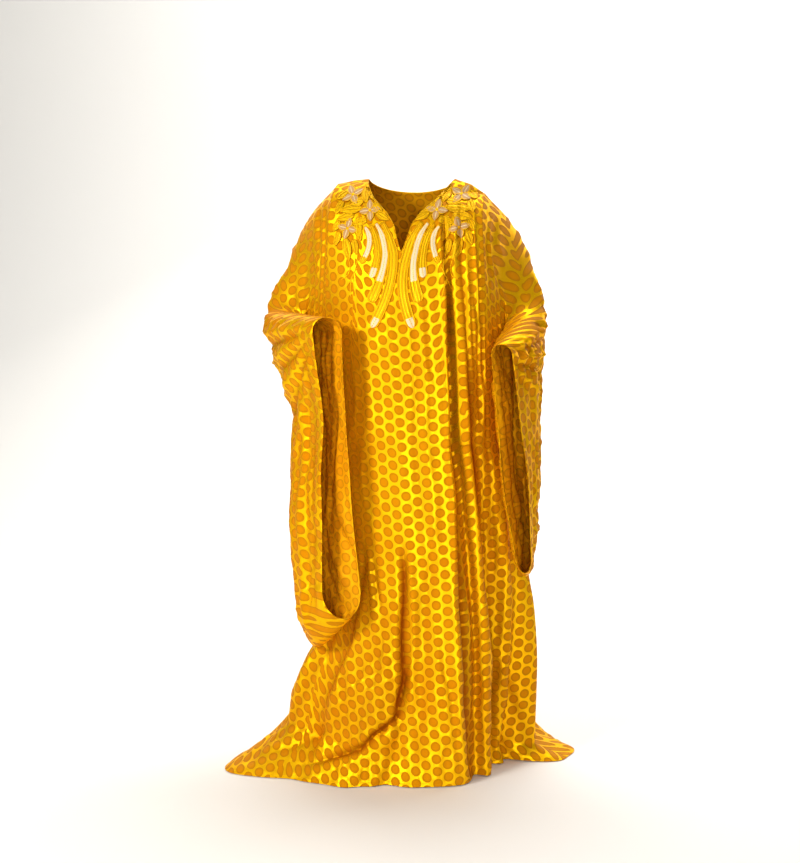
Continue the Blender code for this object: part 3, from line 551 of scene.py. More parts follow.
# The cloth's roughness, its shine, and how far each part of its relief stands out or in
SATIN_ROUGHNESS = 0.40
DOT_ROUGHER = 0.22
STREAK_ROUGHER = 0.10
SATIN_SPECULAR = 0.22
WEAVE_RELIEF = 0.035
DOT_RELIEF = -0.30
STREAK_RELIEF = 0.20
STITCH_RELIEF = -0.8
STITCH_DASH = (-0.6, 0.0)
CLOTH_RELIEF = 0.0004
CLOTH_RELIEF_SHARE = 0.7

# Colours of the cloth on its right side, and on its wrong side. The wrong side is the damask's reverse,
# and its colours are also lightened all over as painted light, so the insides seen at the cuffs look
# lit.
SATIN = (1.000, 0.570, 0.004)
DOTS = (0.640, 0.245, 0.001)
DOT_RIM = (0.300, 0.125, 0.002)
STREAK = (0.350, 0.120, 0.000)
WRONG_SATIN_AND_PAINTED_LIGHT = (0.960, 0.460, 0.005)
WRONG_DOTS_AND_PAINTED_LIGHT = (0.760, 0.310, 0.004)
WARMER_SATIN = (0.97, 0.84, 0.7)
WARMER_DOTS = (0.94, 0.84, 0.7)
SATIN_SHEEN = 0.66
WRONG_SHEEN = 0.20
SATIN_GLINT = (1.0, 0.60, 0.08)

# The shade in folds: its colour, its share down in a crease of full depth, how much of the lesser
# shade is added where two meet, and the most that there can be
FOLD_SHADE = (0.270, 0.048, 0.000)
FOLD_SHADE_SHARE = 0.70
FOLD_SHADE_DEPTH = 0.012
LESSER_SHADE = 0.35
FULL_SHADE = 0.96

# Colours of the threads. The deep colour is a deeper gold thread in the fills and short stitches,
# and painted shade along the stitching's rims and down its grooves.
GOLD_THREAD = (1.000, 0.570, 0.004)
DEEP_THREAD_AND_SHADE = (0.240, 0.080, 0.001)
CREAM_THREAD = (0.800, 0.700, 0.480)
PETAL_THREAD = (0.520, 0.250, 0.060)
UNEVEN_THREAD = (0.420, 0.170, 0.010)
THREAD_GLINT = (1.0, 0.70, 0.25)

# The threads are uneven along their length. Gold shines like metal, and cream loses that shine.
UNEVEN_SCALES = (250, 1400, 1)
UNEVEN_RANGE = (0.35, 0.75)
UNEVEN_SHARE = 0.30
GOLD_SHEEN = 0.52
CREAM_LOSS = -0.50
THREAD_ROUGHNESS = 0.30
UNEVEN_ROUGHER = 0.14
THREAD_SPECULAR = 0.18
UNEVEN_RELIEF = 0.8
RIDGE_RELIEF = 0.35
THREAD_RELIEF = 0.0003
THREAD_RELIEF_SHARE = 0.6

# Further leaves of the ornament, which are stitched too low to be solids
SMALL_LEAVES = (
    Leaf(0.082, 0.030, 0.0665, 0.058, 0.0189),
    Leaf(0.098, 0.020, 0.0820, 0.012, 0.0162),
    Leaf(0.069, 0.066, 0.0500, 0.084, 0.0175),
    Leaf(0.100, 0.060, 0.1240, 0.066, 0.0162),
    Leaf(0.086, 0.104, 0.1160, 0.112, 0.0162),
    Leaf(0.118, 0.092, 0.1560, 0.100, 0.0189),
    Leaf(0.106, 0.120, 0.0960, 0.150, 0.0149),
    Leaf(0.144, 0.036, 0.1620, 0.052, 0.0162),
    Leaf(0.152, 0.106, 0.1640, 0.126, 0.0149),
    Leaf(0.148, 0.060, 0.1600, 0.086, 0.0149),
    Leaf(0.150, 0.132, 0.1600, 0.160, 0.0149),
    Leaf(0.112, 0.150, 0.1040, 0.182, 0.0135),
)

# Thin scrolls, each a cord that bows from its start to its tip
Scroll = namedtuple("Scroll", "half drop bow bow_drop tip tip_drop")
SCROLLS = (
    Scroll(0.110, 0.150, 0.086, 0.215, 0.126, 0.262),
    Scroll(0.120, 0.196, 0.108, 0.230, 0.138, 0.240),
    Scroll(0.098, 0.212, 0.118, 0.240, 0.106, 0.282),
)

# Thin cords: their radii, how many sides they have, over how many points they taper, in how many
# points a scroll is laid, how high their middles lie as a share of their radius, and how far the
# neck's cord runs on past the neck
SCROLL_RADIUS = 0.0012
NECK_CORD_RADIUS = 0.0013
CORD_SIDES = 10
CORD_TAPER = 3
CORD_WELD = 1e-6
SCROLL_POINTS = 40
CORD_LIFT = 0.5
NECK_CORD_PAST = 0.001

# Where the front is looked for from: well in front of it, and near it where a place is past its edge
SEARCH_FROM = -1.0
SEARCH_NEAR = -0.10

# How deep all stitching is sunk into the cloth, and the least that it stands out
SUNK = 0.0002
LEAST_HEIGHT = 0.0001

# How far the stitching spreads past the drawn width, and how far past both tips
BAND_SPREAD = 0.0062
LEAF_SPREAD = 0.0095
LEAF_STRETCH = 0.0045
SMALL_LEAF_SPREAD = 0.004
SMALL_LEAF_STRETCH = 0.003
PETAL_STRETCH = 0.0055

# The share of each band, from its start, that is stitched in cream down its middle or at its tip,
# and how much wider each grows near its tip
BAND_CREAM = ((0.915, 1.01), (0.02, 0.78), (0.84, 1.01), (0.04, 0.86))
BAND_FLARES = (0.0, 0.40, 0.25, 0.05)

# A tone is the thread's colour: -1 deep, 0 gold, 1 cream, 2 a petal's. The deep end is partly a
# deeper gold thread and partly painted shade at the rims and grooves of the stitching.
GOLD = 0.0
CREAM = 1.0
PETAL = 1.85
PAINTED_RIM_SHADE = -1.0

# A band is divided into columns and rows. It starts narrow, is full a little further on, and flares
# near its tip. Across it, as shares of half its width from its middle out, come a ribbed or cream
# middle, a dark line, a gold cord and a dark rim. The dark line, the dark rim and the darker grooves
# between the ribs are painted shade where the stitching falls away.
BAND_GRID = (36, 150)
BAND_START = 0.45
BAND_FULL = 0.30
BAND_FLARE = (0.6, 0.95)
BAND_ENDS = (0.02, 0.992)
PAD_ROUNDING = 0.7
BAND_CORD_SHARE = 0.11
BAND_CORD_HEIGHT = 0.0028
BAND_FILL_HEIGHT = 0.0026
BAND_MIDDLE = 0.66
BAND_CORD_STARTS = 0.74
BAND_RIM_STARTS = 0.96
BAND_SHADE_LINE = -0.7
RIB_DEPTH = 0.0010
RIB_GROOVE_SHADE = -0.50

# The short gold stitches down a cream middle
DASH_HALF = 0.07
DASH_STEP = 0.0042
DASH_LENGTH = 0.0026
DASH_TONE = -0.35

# A leaf in the same way, with its vein. It is cut a little short at its stem, and both of its ends
# keep a little width.
LEAF_GRID = (28, 34)
LEAF_CORD_SHARE = 0.14
LEAF_CORD_HEIGHT = 0.0024
LEAF_FILL_HEIGHT = 0.0023
LEAF_MIDDLE = 0.64
LEAF_CORD_STARTS = 0.74
LEAF_RIM_STARTS = 0.90
LEAF_SHADE_LINE = -0.55
LEAF_FULLNESS = 0.82
LEAF_LEAST_WIDTH = 0.05
LEAF_CUT_STEM = 0.03
LEAF_ENDS = (0.06, 0.95)
LEAF_TONE = -0.15
LEAF_SLANT = 0.6
VEIN_WIDTH = 0.05
VEIN_DEPTH = 0.0014
VEIN_TONE = 0.45
VEIN_TONE_SHARE = 0.3

# A flower's petals and its raised heart, as shares of its radius
PETAL_STARTS = 0.12
PETAL_WIDTH = 0.78
HEART_SHARE = 0.22
HEART_GRID = (16, 5)
HEART_HEIGHT = 0.0032

# The camera, a little to the dress's left, at the chest's height and looking a little down
CAMERA_AZIMUTH = math.radians(11)
CAMERA_PITCH = math.radians(5.76)
CAMERA_DISTANCE = 3.2
CAMERA_HEIGHT = -0.28
CAMERA_SHIFT = -0.029
SENSOR_HEIGHT = 36
LENS = 55.62

# The studio: a floor that sweeps up behind, a pale surround and square soft lights
FLOOR_GAP = 0.0005
FLOOR_HALF = 9.0
FLOOR_FRONT = -6.0
SWEEP_START = 1.2
SWEEP_RADIUS = 2.4
SWEEP_STEPS = 16
SWEEP_TOP = 9.0
FLOOR_COLOUR = (0.86, 0.86, 0.85)
FLOOR_ROUGHNESS = 0.8
SURROUND = (1.0, 0.98, 0.95)
SURROUND_STRENGTH = 0.22
Lamp = namedtuple("Lamp", "name place target size power colour")
LAMPS = (
    Lamp("key", (-2.1, -2.9, 0.8), (0, 0, -0.7), 0.7, 98, (1.0, 0.95, 0.85)),
    Lamp("fill", (0.9, -3.6, -0.2), (0, 0, -0.8), 1.0, 34, (1.0, 0.96, 0.90)),
    Lamp("back_left", (-1.8, 2.4, 1.2), (0, 0, -0.6), 1.4, 26, (1.0, 0.95, 0.86)),
    Lamp("back_right", (2.2, 2.3, 0.9), (0, 0, -0.6), 1.4, 22, (1.0, 0.95, 0.88)),
    Lamp("low_fill", (0.6, -2.8, -1.15), (0.1, 0, -0.75), 0.8, 16, (1.0, 0.95, 0.88)),
    Lamp("wash", (0.3, 1.2, 2.6), (0.3, 3.6, -0.9), 2.4, 140, (1.0, 0.98, 0.95)),
)


def smooth(knots, values, at):
    """The values at the knots, joined by a smooth line that keeps level past its ends."""
    knots = np.asarray(knots, float)
    values = np.asarray(values, float)
    at = np.asarray(at, float)
    slopes = np.gradient(values, knots)
    i = np.clip(np.searchsorted(knots, at) - 1, 0, len(knots) - 2)
    span = knots[i + 1] - knots[i]
    t = np.clip((at - knots[i]) / span, 0, 1)
    start = (1 + 2 * t) * (1 - t) ** 2 * values[i] + t * (1 - t) ** 2 * span * slopes[i]
    end = t * t * (3 - 2 * t) * values[i + 1] - t * t * (1 - t) * span * slopes[i + 1]
    return start + end


def read(rows, column, at, key="drop"):
    """One column of a table, read smoothly between its rows."""
    return smooth([getattr(row, key) for row in rows], [getattr(row, column) for row in rows], at)


def ease(value, low, high):
    """0 below low, 1 above high, and a smooth rise between them."""
    t = np.clip((value - low) / (high - low), 0, 1)
    return t * t * (3 - 2 * t)


def quarter_round(t):
    """The height of a quarter circle, from 0 at its foot to 1 at its top."""
    return np.sqrt(np.clip(1 - (1 - np.clip(t, 0, 1)) ** 2, 0, 1))


def ring_thickness(height, upper, nip, belly, tail, length):
    """Half a sleeve ring's thickness at a height, 0 at the arm and 1 at its lowest point."""
    knots = (0.0, NIP_HEIGHT, BELLY_HEIGHT, 1.0)
    top_cap = quarter_round(height * length / upper)
    low_cap = quarter_round((1 - height) * length / (tail + CAP_MARGIN))
    whole = np.zeros(np.broadcast(height, upper).shape)
    for i in range(3):
        left = (upper, nip, belly, tail)[i]
        right = (upper, nip, belly, tail)[i + 1]
        inside = (height >= knots[i]) & (height <= knots[i + 1])
        whole = np.where(inside, left + (right - left) * ease(height, knots[i], knots[i + 1]), whole)
    return whole * top_cap * low_cap


def on_each_side(place, right, left):
    """The value for the side that each place is on, negative for the dress's right."""
    return np.where(place < 0, right, left)


def armhole_depth(rings, drop):
    """How far an armhole's edge stands from the shoulder line, in front and behind."""
    ring = rings[0]
    length = ring.low_drop - ring.drop
    height = np.clip((drop - ring.drop) / length, 0, 1)
    return ring_thickness(height, ring.upper, ring.nip, ring.belly, ring.tail, length)


def half_width(column, top, drop):
    """The section's half-width on one side, which is straight along the armhole."""
    armhole = np.interp(drop, (top, ARMHOLE_DROP), (SHOULDER_HALF, ARMHOLE_HALF))
    skirt_rows = [row for row in SECTIONS if row.drop >= ARMHOLE_DROP]
    return np.where(drop < ARMHOLE_DROP, armhole, read(skirt_rows, column, drop))


def half_widths(s, drop):
    """The section's half-width on the side that each place is on."""
    right = half_width("right", SHOULDERS[-1].right, drop)
    left = half_width("left", SHOULDERS[-1].left, drop)
    return on_each_side(s, right, left)


def shoulder_drop(x):
    """How far the shoulder line lies below the origin."""
    halves = [point.half for point in SHOULDERS]
    right = np.interp(np.abs(x), halves, [point.right for point in SHOULDERS])
    left = np.interp(np.abs(x), halves, [point.left for point in SHOULDERS])
    return on_each_side(x, right, left)


def across(s, drop):
    """x at a place across the panel, s from -1 to 1, its share of the width, and how near the middle."""
    full = CHEST_TURN + (math.pi / 2 - CHEST_TURN) * ease(drop, CLOSING_STARTS, ARMHOLE_DROP)
    share = np.sin(s * full) / np.sin(full)
    middle = (np.cos(s * full) - np.cos(full)) / (1 - np.cos(full))
    return half_widths(s, drop) * share, share, middle


def fold_relief(turn, drop, share):
    """How far the folds move the cloth outwards at a turn round the section."""
    relief = np.zeros(np.shape(turn))
    for fold in FOLDS:
        t = np.clip((drop - fold.start) / (FLOOR - fold.start), 0, 1)
        centre = fold.turn + (fold.hem_turn - fold.turn) * t + fold.bend * 4 * t * (1 - t)
        away = np.radians((turn - centre + 180) % 360 - 180) * FOLD_RADIUS
        width = np.where(away < 0, fold.before, fold.after)
        depth = fold.depth + (fold.hem_depth - fold.depth) * t
        depth = depth * ease(drop, fold.start - FOLD_STARTS_ABOVE, fold.start + FOLD_FULL_BELOW)
        relief += depth * np.exp(-((away / width) ** 2))
    armhole = 1 - ease(drop, ARMHOLE_DROP, ARMHOLE_DROP + EDGE_FADE_DROP)
    near_edge = ease(np.abs(share), *EDGE_FADE)
    return relief * (1 - armhole * near_edge)


def turn_round(share, face):
    """Degrees round from the middle front, at a share of the panel's width."""
    turn = np.degrees(np.arcsin(np.clip(share, -1, 1)))
    return turn if face < 0 else on_each_side(turn, -180 - turn, 180 - turn)


def panel_points(s, drop, face):
    """Points of the front panel, face -1, or the back panel, face 1."""
    x, share, middle = across(s, drop)
    depth = read(SECTIONS, "front" if face < 0 else "back", drop)
    edge = on_each_side(s, armhole_depth(RIGHT_SLEEVE, drop), armhole_depth(LEFT_SLEEVE, drop))
    roll = quarter_round((drop - shoulder_drop(x)) / SHOULDER_ROLL)
    y = face * (edge * (1 - middle) + depth * roll * middle)
    y = y + read(SECTIONS, "left_aft", drop) * ease(share, LEFT_AFT_STARTS, 1)
    turn = turn_round(share, face)
    rise = read(REACHES, "rise", turn, "turn")
    turned_out = np.clip(1 - (FLOOR - drop) / rise, 0, 1) ** TURN_OUT_POWER
    out = fold_relief(turn, drop, share) + read(REACHES, "out", turn, "turn") * turned_out
    normal_x = share * depth
    normal_y = face * np.sqrt(np.clip(1 - share**2, 0, 1)) * half_widths(s, drop)
    size = np.hypot(normal_x, normal_y)
    return np.stack([x + out * normal_x / size, y + out * normal_y / size, -drop], -1)


def armhole_heights():
    """The heights of the armhole's rows, closer together at both ends, where the cloth rounds."""
    even = np.linspace(0, 1, ARMHOLE_ROWS + 1)
    return (1 - END_CROWDING) * even + END_CROWDING * (1 - np.cos(math.pi * even)) / 2


def column_places(neck_columns, shoulder_columns):
    """Places across a panel from -1 to 1, with one exactly at each end of the neck."""
    neck = math.asin(NECK_HALF / SHOULDER_HALF * math.sin(CHEST_TURN)) / CHEST_TURN
    over_neck = np.linspace(0, neck, neck_columns + 1)
    over_shoulder = np.linspace(neck, 1, shoulder_columns + 1)
    half = np.concatenate([over_neck, over_shoulder[1:]])
    return np.concatenate([-half[:0:-1], half])


def panel_grid(face):
    """The panel's places across and its drops, as a grid whose top row is the neck and shoulders."""
    neck_columns = NECK_COLUMNS if face < 0 else BACK_NECK_COLUMNS
    places = column_places(neck_columns, SHOULDER_COLUMNS)
    x = SHOULDER_HALF * across(places, np.zeros(places.shape))[1]
    top = shoulder_drop(x)
    if face < 0:
        neck_edge = read(FRONT_NECK, "drop", np.abs(x), "half")
    else:
        neck_edge = BACK_NECK_DROP * quarter_round(1 - np.abs(x) / NECK_HALF)
    top = np.where(np.abs(x) < NECK_HALF - 1e-6, neck_edge, top)
    armhole = top[None, :] + (ARMHOLE_DROP - top)[None, :] * armhole_heights()[:, None]
    even = np.linspace(0, 1, SKIRT_ROWS + 1)[1:]
    skirt = ARMHOLE_DROP + (FLOOR - ARMHOLE_DROP) * (1 - (1 - even) ** HEM_CROWDING)
    drop = np.concatenate([armhole, np.repeat(skirt[:, None], len(places), axis=1)])
    return np.repeat(places[None, :], len(drop), axis=0), drop


def sleeve_relief(folds, along, height, face):
    """How far a sleeve's folds move its cloth away from the sleeve's middle."""
    relief = np.zeros(np.shape(along))
    for fold in folds:
        t = (height - fold.top) / (fold.low - fold.top)
        centre = fold.along + (fold.low_along - fold.along) * np.clip(t, 0, 1)
        away = (along - centre) * SLEEVE_LENGTH / fold.width
        ends = ease(height, fold.top - FOLD_ENDS, fold.top + FOLD_ENDS)
        ends = ends * (1 - ease(height, fold.low - FOLD_ENDS, fold.low + FOLD_ENDS))
        relief += np.where(face == fold.face, fold.depth * ends * np.exp(-(away**2)), 0)
    at_seams = ease(along, 0, ARMHOLE_FADE) * ease(height, 0, TOP_FADE)
    return relief * (at_seams * (1 - ease(height, BOTTOM_FADE, 1)))


def sleeve_points(rings, folds, side, along, height, face):
    """Points of a sleeve, face -1 for its front and inner side and 1 for its back and outer side."""
    value = {name: read(rings, name, along, "along") for name in Ring._fields[1:]}
    turn = np.radians(value["turn"])
    facing = np.stack([side * np.sin(turn), np.cos(turn), np.zeros(np.shape(turn))], -1)
    top = np.stack([side * value["out"], value["y"], -value["drop"]], -1)
    low = np.stack([side * value["low_out"], value["low_y"], -value["low_drop"]], -1)
    length = value["low_drop"] - value["drop"]
    thick = ring_thickness(
        height, value["upper"], value["nip"], value["belly"], value["tail"], length
    )
    relief = sleeve_relief(folds, along, height, face)
    thick = thick + np.maximum(relief, -RELIEF_SHARE * thick)
    sway = value["sway"] * np.exp(-(((height - NIP_HEIGHT) / NIP_REACH) ** 2))
    points = top + (low - top) * height[..., None] + (face * thick + sway)[..., None] * facing
    return evened(points, height, face)


def evened(points, height, face):
    """The points, with the inner face's evened along the sleeve, as its rings crowd in the elbow."""
    free = ease(height, 0, FREE_BELOW) * np.where(face < 0, 1, ease(height, OUTER_FREE_BELOW, 1))
    for _ in range(EVENINGS):
        between = (points[:, :-2] + points[:, 2:]) / 2
        step = free[:, 1:-1, None] * (between - points[:, 1:-1]) / 2
        points[:, 1:-1] = points[:, 1:-1] + step
    return points


def sleeve_grid():
    """Places along a sleeve, heights down its rings and which side of the ring each is on."""
    heights = armhole_heights()
    round_heights = np.concatenate([heights, heights[-2::-1]])
    faces = np.concatenate([-np.ones(ARMHOLE_ROWS), [0], np.ones(ARMHOLE_ROWS)])
    along = np.linspace(0, 1, SLEEVE_COLUMNS + 1)
    along, height = np.meshgrid(along, round_heights)
    face = np.repeat(faces[:, None], SLEEVE_COLUMNS + 1, axis=1)
    return along, height, face


def surface_normals(points):
    """The direction that a grid of points faces at each of them, rows going down and columns across."""
    along = np.gradient(points, axis=1)
    down = np.gradient(points, axis=0)
    normals = np.cross(down, along)
    size = np.linalg.norm(normals, axis=-1, keepdims=True)
    return normals / np.maximum(size, 1e-12)


def lengths(points, axis):
    """How far each point of a grid is from the first, measured over the cloth along one axis."""
    steps = np.linalg.norm(np.diff(points, axis=axis), axis=-1)
    first = np.zeros_like(np.take(steps, [0], axis=axis))
    return np.cumsum(np.concatenate([first, steps], axis=axis), axis=axis)


def hanging_places(points):
    """Places on the cloth in metres, across from the first column and down, for a straight grain."""
    steps = np.linalg.norm(np.diff(points[..., :2], axis=1), axis=-1)
    across_m = np.cumsum(np.concatenate([np.zeros((len(points), 1)), steps], axis=1), axis=1)
    falls = np.linalg.norm(np.diff(points[..., 1:], axis=0), axis=-1)
    down_m = np.cumsum(np.concatenate([-points[:1, :, 2], falls], axis=0), axis=0)
    return across_m, down_m


def crease_relief(creases, across_m, down_m, across_scale, down_scale):
    """How far the creases move the cloth out, at places across and down in metres."""
    relief = np.zeros(across_m.shape)
    for crease in creases:
        start = np.array([crease.across * across_scale, crease.down * down_scale])
        end = np.array([crease.low_across * across_scale, crease.low_down * down_scale])
        run = end - start
        length = np.hypot(*run)
        run = run / length
        along = (across_m - start[0]) * run[0] + (down_m - start[1]) * run[1]
        wander = CREASE_WANDER * crease.width * np.sin(along * WANDER_TURN + crease.low_across)
        away = (across_m - start[0]) * run[1] - (down_m - start[1]) * run[0] + wander
        ends = ease(along, -CREASE_ENDS, CREASE_ENDS)
        ends = ends * (1 - ease(along, length - CREASE_ENDS, length + CREASE_ENDS))
        relief += crease.depth * ends * np.exp(-((away / crease.width) ** 2))
    return relief


def fold_shade(relief, shades, across_m, down_m, across_scale, down_scale):
    """How much darker the cloth is down in its creases, and where it lies in a fold's own shade."""
    creased = FOLD_SHADE_SHARE * np.clip(-relief / FOLD_SHADE_DEPTH, 0, 1)
    shaded = crease_relief(shades, across_m, down_m, across_scale, down_scale)
    lesser = LESSER_SHADE * np.minimum(creased, shaded)
    return np.clip(np.maximum(creased, shaded) + lesser, 0, FULL_SHADE)


def crumple(across_m, down_m, width, length, seed):
    """Uneven ridges from -1 to 1 that run with the fall of the cloth."""
    flat = np.empty(across_m.size)
    for i, (a, d) in enumerate(zip(across_m.ravel().tolist(), down_m.ravel().tolist())):
        sway = SWAY * noise.noise(Vector((a / SWAY_WIDTH, d / SWAY_LENGTH, seed + SWAY_SEED)))
        flat[i] = noise.noise(Vector((a / width + sway, d / length, seed)))
    ridged = 1 - CRUMPLE_SHARPNESS * np.abs(flat.reshape(across_m.shape))
    return np.clip(ridged, -1, 1)


def grid_mesh(points, across_m, down_m, edge, fold, closed_top):
    """A cloth sheet through a grid of points, with its places on the cloth in metres as its UVs."""
    rows, columns = points.shape[:2]
    cloth = bmesh.new()
    uv = cloth.loops.layers.uv.new("cloth")
    edge_layer = cloth.verts.layers.float.new("edge")
    # fold carries the share of painted shade down in the creases and in the front's shaded strips
    fold_layer = cloth.verts.layers.float.new("fold")
    bmesh.ops.create_grid(cloth, x_segments=columns - 1, y_segments=rows - 1, size=0.5)
    place = {}
    for vert in cloth.verts:
        column = round((vert.co.x + 0.5) * (columns - 1))
        row = round((vert.co.y + 0.5) * (rows - 1))
        place[vert] = (row, column)
    for face in cloth.faces:
        for loop in face.loops:
            row, column = place[loop.vert]
            loop[uv].uv = (across_m[row, column], down_m[row, column])
    for vert, (row, column) in place.items():
        vert.co = Vector(points[row, column])
        vert[edge_layer] = edge[row, column]
        vert[fold_layer] = fold[row, column]
    if closed_top:
        bmesh.ops.remove_doubles(cloth, verts=cloth.verts, dist=WELD)
    bmesh.ops.recalc_face_normals(cloth, faces=cloth.faces)
    return cloth


def face_outwards(cloth, outward):
    """Turns the sheet over if the face that lies furthest along outward looks the other way."""
    outward = Vector(outward)
    furthest = max(cloth.faces, key=lambda face: face.calc_center_median().dot(outward))
    if furthest.normal.dot(outward) < 0:
        bmesh.ops.reverse_faces(cloth, faces=cloth.faces)


def rising_share(shares, *places):
    """The share that shows everywhere, with a further share at each of the places."""
    whole = shares[0]
    for share, place in zip(shares[1:], places):
        whole = whole + share * place
    return whole


def crumples(depth, fine_depth, across_m, down_m, width, seed):
    """A sheet's wide and fine crumples, as how far they move it out."""
    wide = depth * crumple(across_m, down_m, width, CRUMPLE_LENGTH, seed)
    fine = crumple(across_m, down_m, FINE_CRUMPLE_WIDTH, FINE_CRUMPLE_LENGTH, seed + FINE_SEED)
    return wide, fine_depth * fine


def panel_sheet(face, creases, shades, seed):
    """The front panel, face -1, or the back panel, face 1, with its creases."""
    s, drop = panel_grid(face)
    points = panel_points(s, drop, face)
    turn = turn_round(across(s, drop)[1], face)
    middle = len(s[0]) // 2
    normals = surface_normals(points)
    if normals[ARMHOLE_ROWS, middle, 1] * face < 0:
        normals = -normals
    run_across, down_m = hanging_places(points)
    across_m = run_across - run_across[:, middle:middle + 1] - GRAIN_LEAN * down_m
    run_down = lengths(points, 0)
    scale = math.radians(1) * FOLD_RADIUS
    relief = crease_relief(creases, turn * scale, drop, scale, 1)
    fold = fold_shade(relief, shades, turn * scale, drop, scale, 1)
    loose = ease(drop, *(FRONT_LOOSENS if face < 0 else BACK_LOOSENS))
    depth = CRUMPLE_DEPTH * rising_share(CHEST_CRUMPLES, loose)
    depth = depth * rising_share(HEM_CRUMPLES, ease(drop, *HEM_LOOSENS))
    fine_depth = FINE_CRUMPLE_DEPTH * rising_share(FINE_HEM_CRUMPLES, ease(drop, *FINE_LOOSENS))
    wide, fine = crumples(depth, fine_depth, across_m, down_m, CRUMPLE_WIDTH, seed)
    relief = relief + wide + fine
    from_seam = (1 - np.abs(s)) * PANEL_HALF
    from_hem = run_down[-1:] - run_down
    keep = ease(from_seam, 0, SEAM_FADE) * ease(run_down, 0, EDGE_CALM) * ease(from_hem, 0, EDGE_CALM)
    points = points + normals * (relief * keep)[..., None]
    neck = np.where(np.abs(points[0, :, 0]) < NECK_HALF, run_down, 1.0)
    return grid_mesh(points, across_m, down_m, np.minimum(from_hem, neck), fold, False)


def sleeve_sheet(rings, folds, side, outer_creases, inner_creases, seed):
    """A wing sleeve, side -1 for the dress's right, with its creases."""
    along, height, face = sleeve_grid()
    points = sleeve_points(rings, folds, side, along, height, face)
    normals = surface_normals(points)
    column = SLEEVE_COLUMNS // 3
    inner_row = ARMHOLE_ROWS // 2
    outer_row = ARMHOLE_ROWS + inner_row
    if np.dot(normals[outer_row, column], points[outer_row, column] - points[inner_row, column]) < 0:
        normals = -normals
    across_m, run_down = hanging_places(points)
    whole = run_down[-1:] + run_down[:1]
    down_m = np.where(face < 0, run_down, whole - run_down)
    from_armhole = lengths(points, 1)
    scales = (SLEEVE_LENGTH, SLEEVE_FALL)
    places = (along * SLEEVE_LENGTH, height * SLEEVE_FALL)
    relief = np.where(face > 0, crease_relief(outer_creases, *places, *scales), 0)
    relief += np.where(face < 0, crease_relief(inner_creases, *places, *scales), 0)
    fold = fold_shade(relief, (), *places, *scales)
    elbow = np.exp(-(((along - ELBOW) / ELBOW_WIDTH) ** 2)) * np.exp(-((height / ELBOW_FALL) ** 2))
    wrist = ease(along, *WRIST) * np.exp(-((height / WRIST_FALL) ** 2))
    depth = CRUMPLE_DEPTH * rising_share(SLEEVE_CRUMPLES, elbow, wrist)
    fine_depth = FINE_CRUMPLE_DEPTH * rising_share(SLEEVE_FINE_CRUMPLES, elbow, wrist)
    wide, fine = crumples(depth, fine_depth, across_m, down_m, SLEEVE_CRUMPLE_WIDTH, seed)
    relief = relief + wide + fine
    from_cuff = from_armhole[:, -1:] - from_armhole
    keep = ease(from_armhole, 0, SEAM_FADE) * ease(from_cuff, 0, CUFF_CALM)
    keep = keep * ease(height, 0, RING_CALM) * (1 - ease(height, 1 - RING_CALM, 1))
    points = points + normals * (relief * keep)[..., None]
    return grid_mesh(points, across_m, down_m, from_cuff, fold, True)


def placed(name, data):
    """A new object in the scene."""
    made = bpy.data.objects.new(name, data)
    bpy.context.scene.collection.objects.link(made)
    return made


def finished(name, shape, slot, *materials):
    """The shape as a piece of its own on the body, with its materials."""
    mesh = bpy.data.meshes.new(name)
    shape.to_mesh(mesh)
    shape.free()
    mesh.shade_smooth()
    for material in materials:
        mesh.materials.append(material)
    made = placed(name, mesh)
    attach(made, "root")
    return made


def give_thickness(piece):
    """Makes the sheet a thin closed shell, whose inner side has the cloth's wrong side."""
    shell = piece.modifiers.new("thickness", "SOLIDIFY")
    shell.thickness = THICKNESS
    shell.offset = -1
    shell.use_rim = True
    shell.material_offset = 1
    shell.material_offset_rim = 0


def feed(tree, sockets, values):
    """Gives each socket its value, which is plain or another node's output."""
    for socket, value in zip(sockets, values):
        if isinstance(value, bpy.types.NodeSocket):
            tree.links.new(value, socket)
        else:
            socket.default_value = value


def math_node(tree, operation, *values):
    """A maths node's result."""
    made = tree.nodes.new("ShaderNodeMath")
    made.operation = operation
    feed(tree, made.inputs, values)
    return made.outputs[0]


def vector_node(tree, operation, *values):
    """A vector maths node's result."""
    made = tree.nodes.new("ShaderNodeVectorMath")
    made.operation = operation
    feed(tree, made.inputs, values)
    return made.outputs["Value" if operation == "LENGTH" else "Vector"]


def rising(tree, value, low, high):
    """0 below low, 1 above high, and a smooth rise between them."""
    made = tree.nodes.new("ShaderNodeMapRange")
    made.interpolation_type = "SMOOTHSTEP"
    tree.links.new(value, made.inputs["Value"])
    made.inputs["From Min"].default_value = low
    made.inputs["From Max"].default_value = high
    return made.outputs["Result"]


def mixed_colour(tree, share, first, second):
    """Two colours mixed by a share."""
    made = tree.nodes.new("ShaderNodeMix")
    made.data_type = "RGBA"
    colours = [(*colour, 1) if isinstance(colour, tuple) else colour for colour in (first, second)]
    feed(tree, (made.inputs[0], made.inputs[6], made.inputs[7]), (share, *colours))
    return made.outputs[2]


def noise_node(tree, vector, scale, detail, output=0):
    """Soft noise round 0.5, as a number or, from output 1, as a colour."""
    made = tree.nodes.new("ShaderNodeTexNoise")
    tree.links.new(vector, made.inputs["Vector"])
    made.inputs["Scale"].default_value = scale
    made.inputs["Detail"].default_value = detail
    return made.outputs[output]


def own_value(tree, attribute):
    """A value that the piece carries at each of its points."""
    made = tree.nodes.new("ShaderNodeAttribute")
    made.attribute_name = attribute
    return made.outputs["Fac"]


def waves(tree, place, step):
    """A sine that repeats at a step along a place in metres."""
    return math_node(tree, "SINE", math_node(tree, "MULTIPLY", place, 2 * math.pi / step))


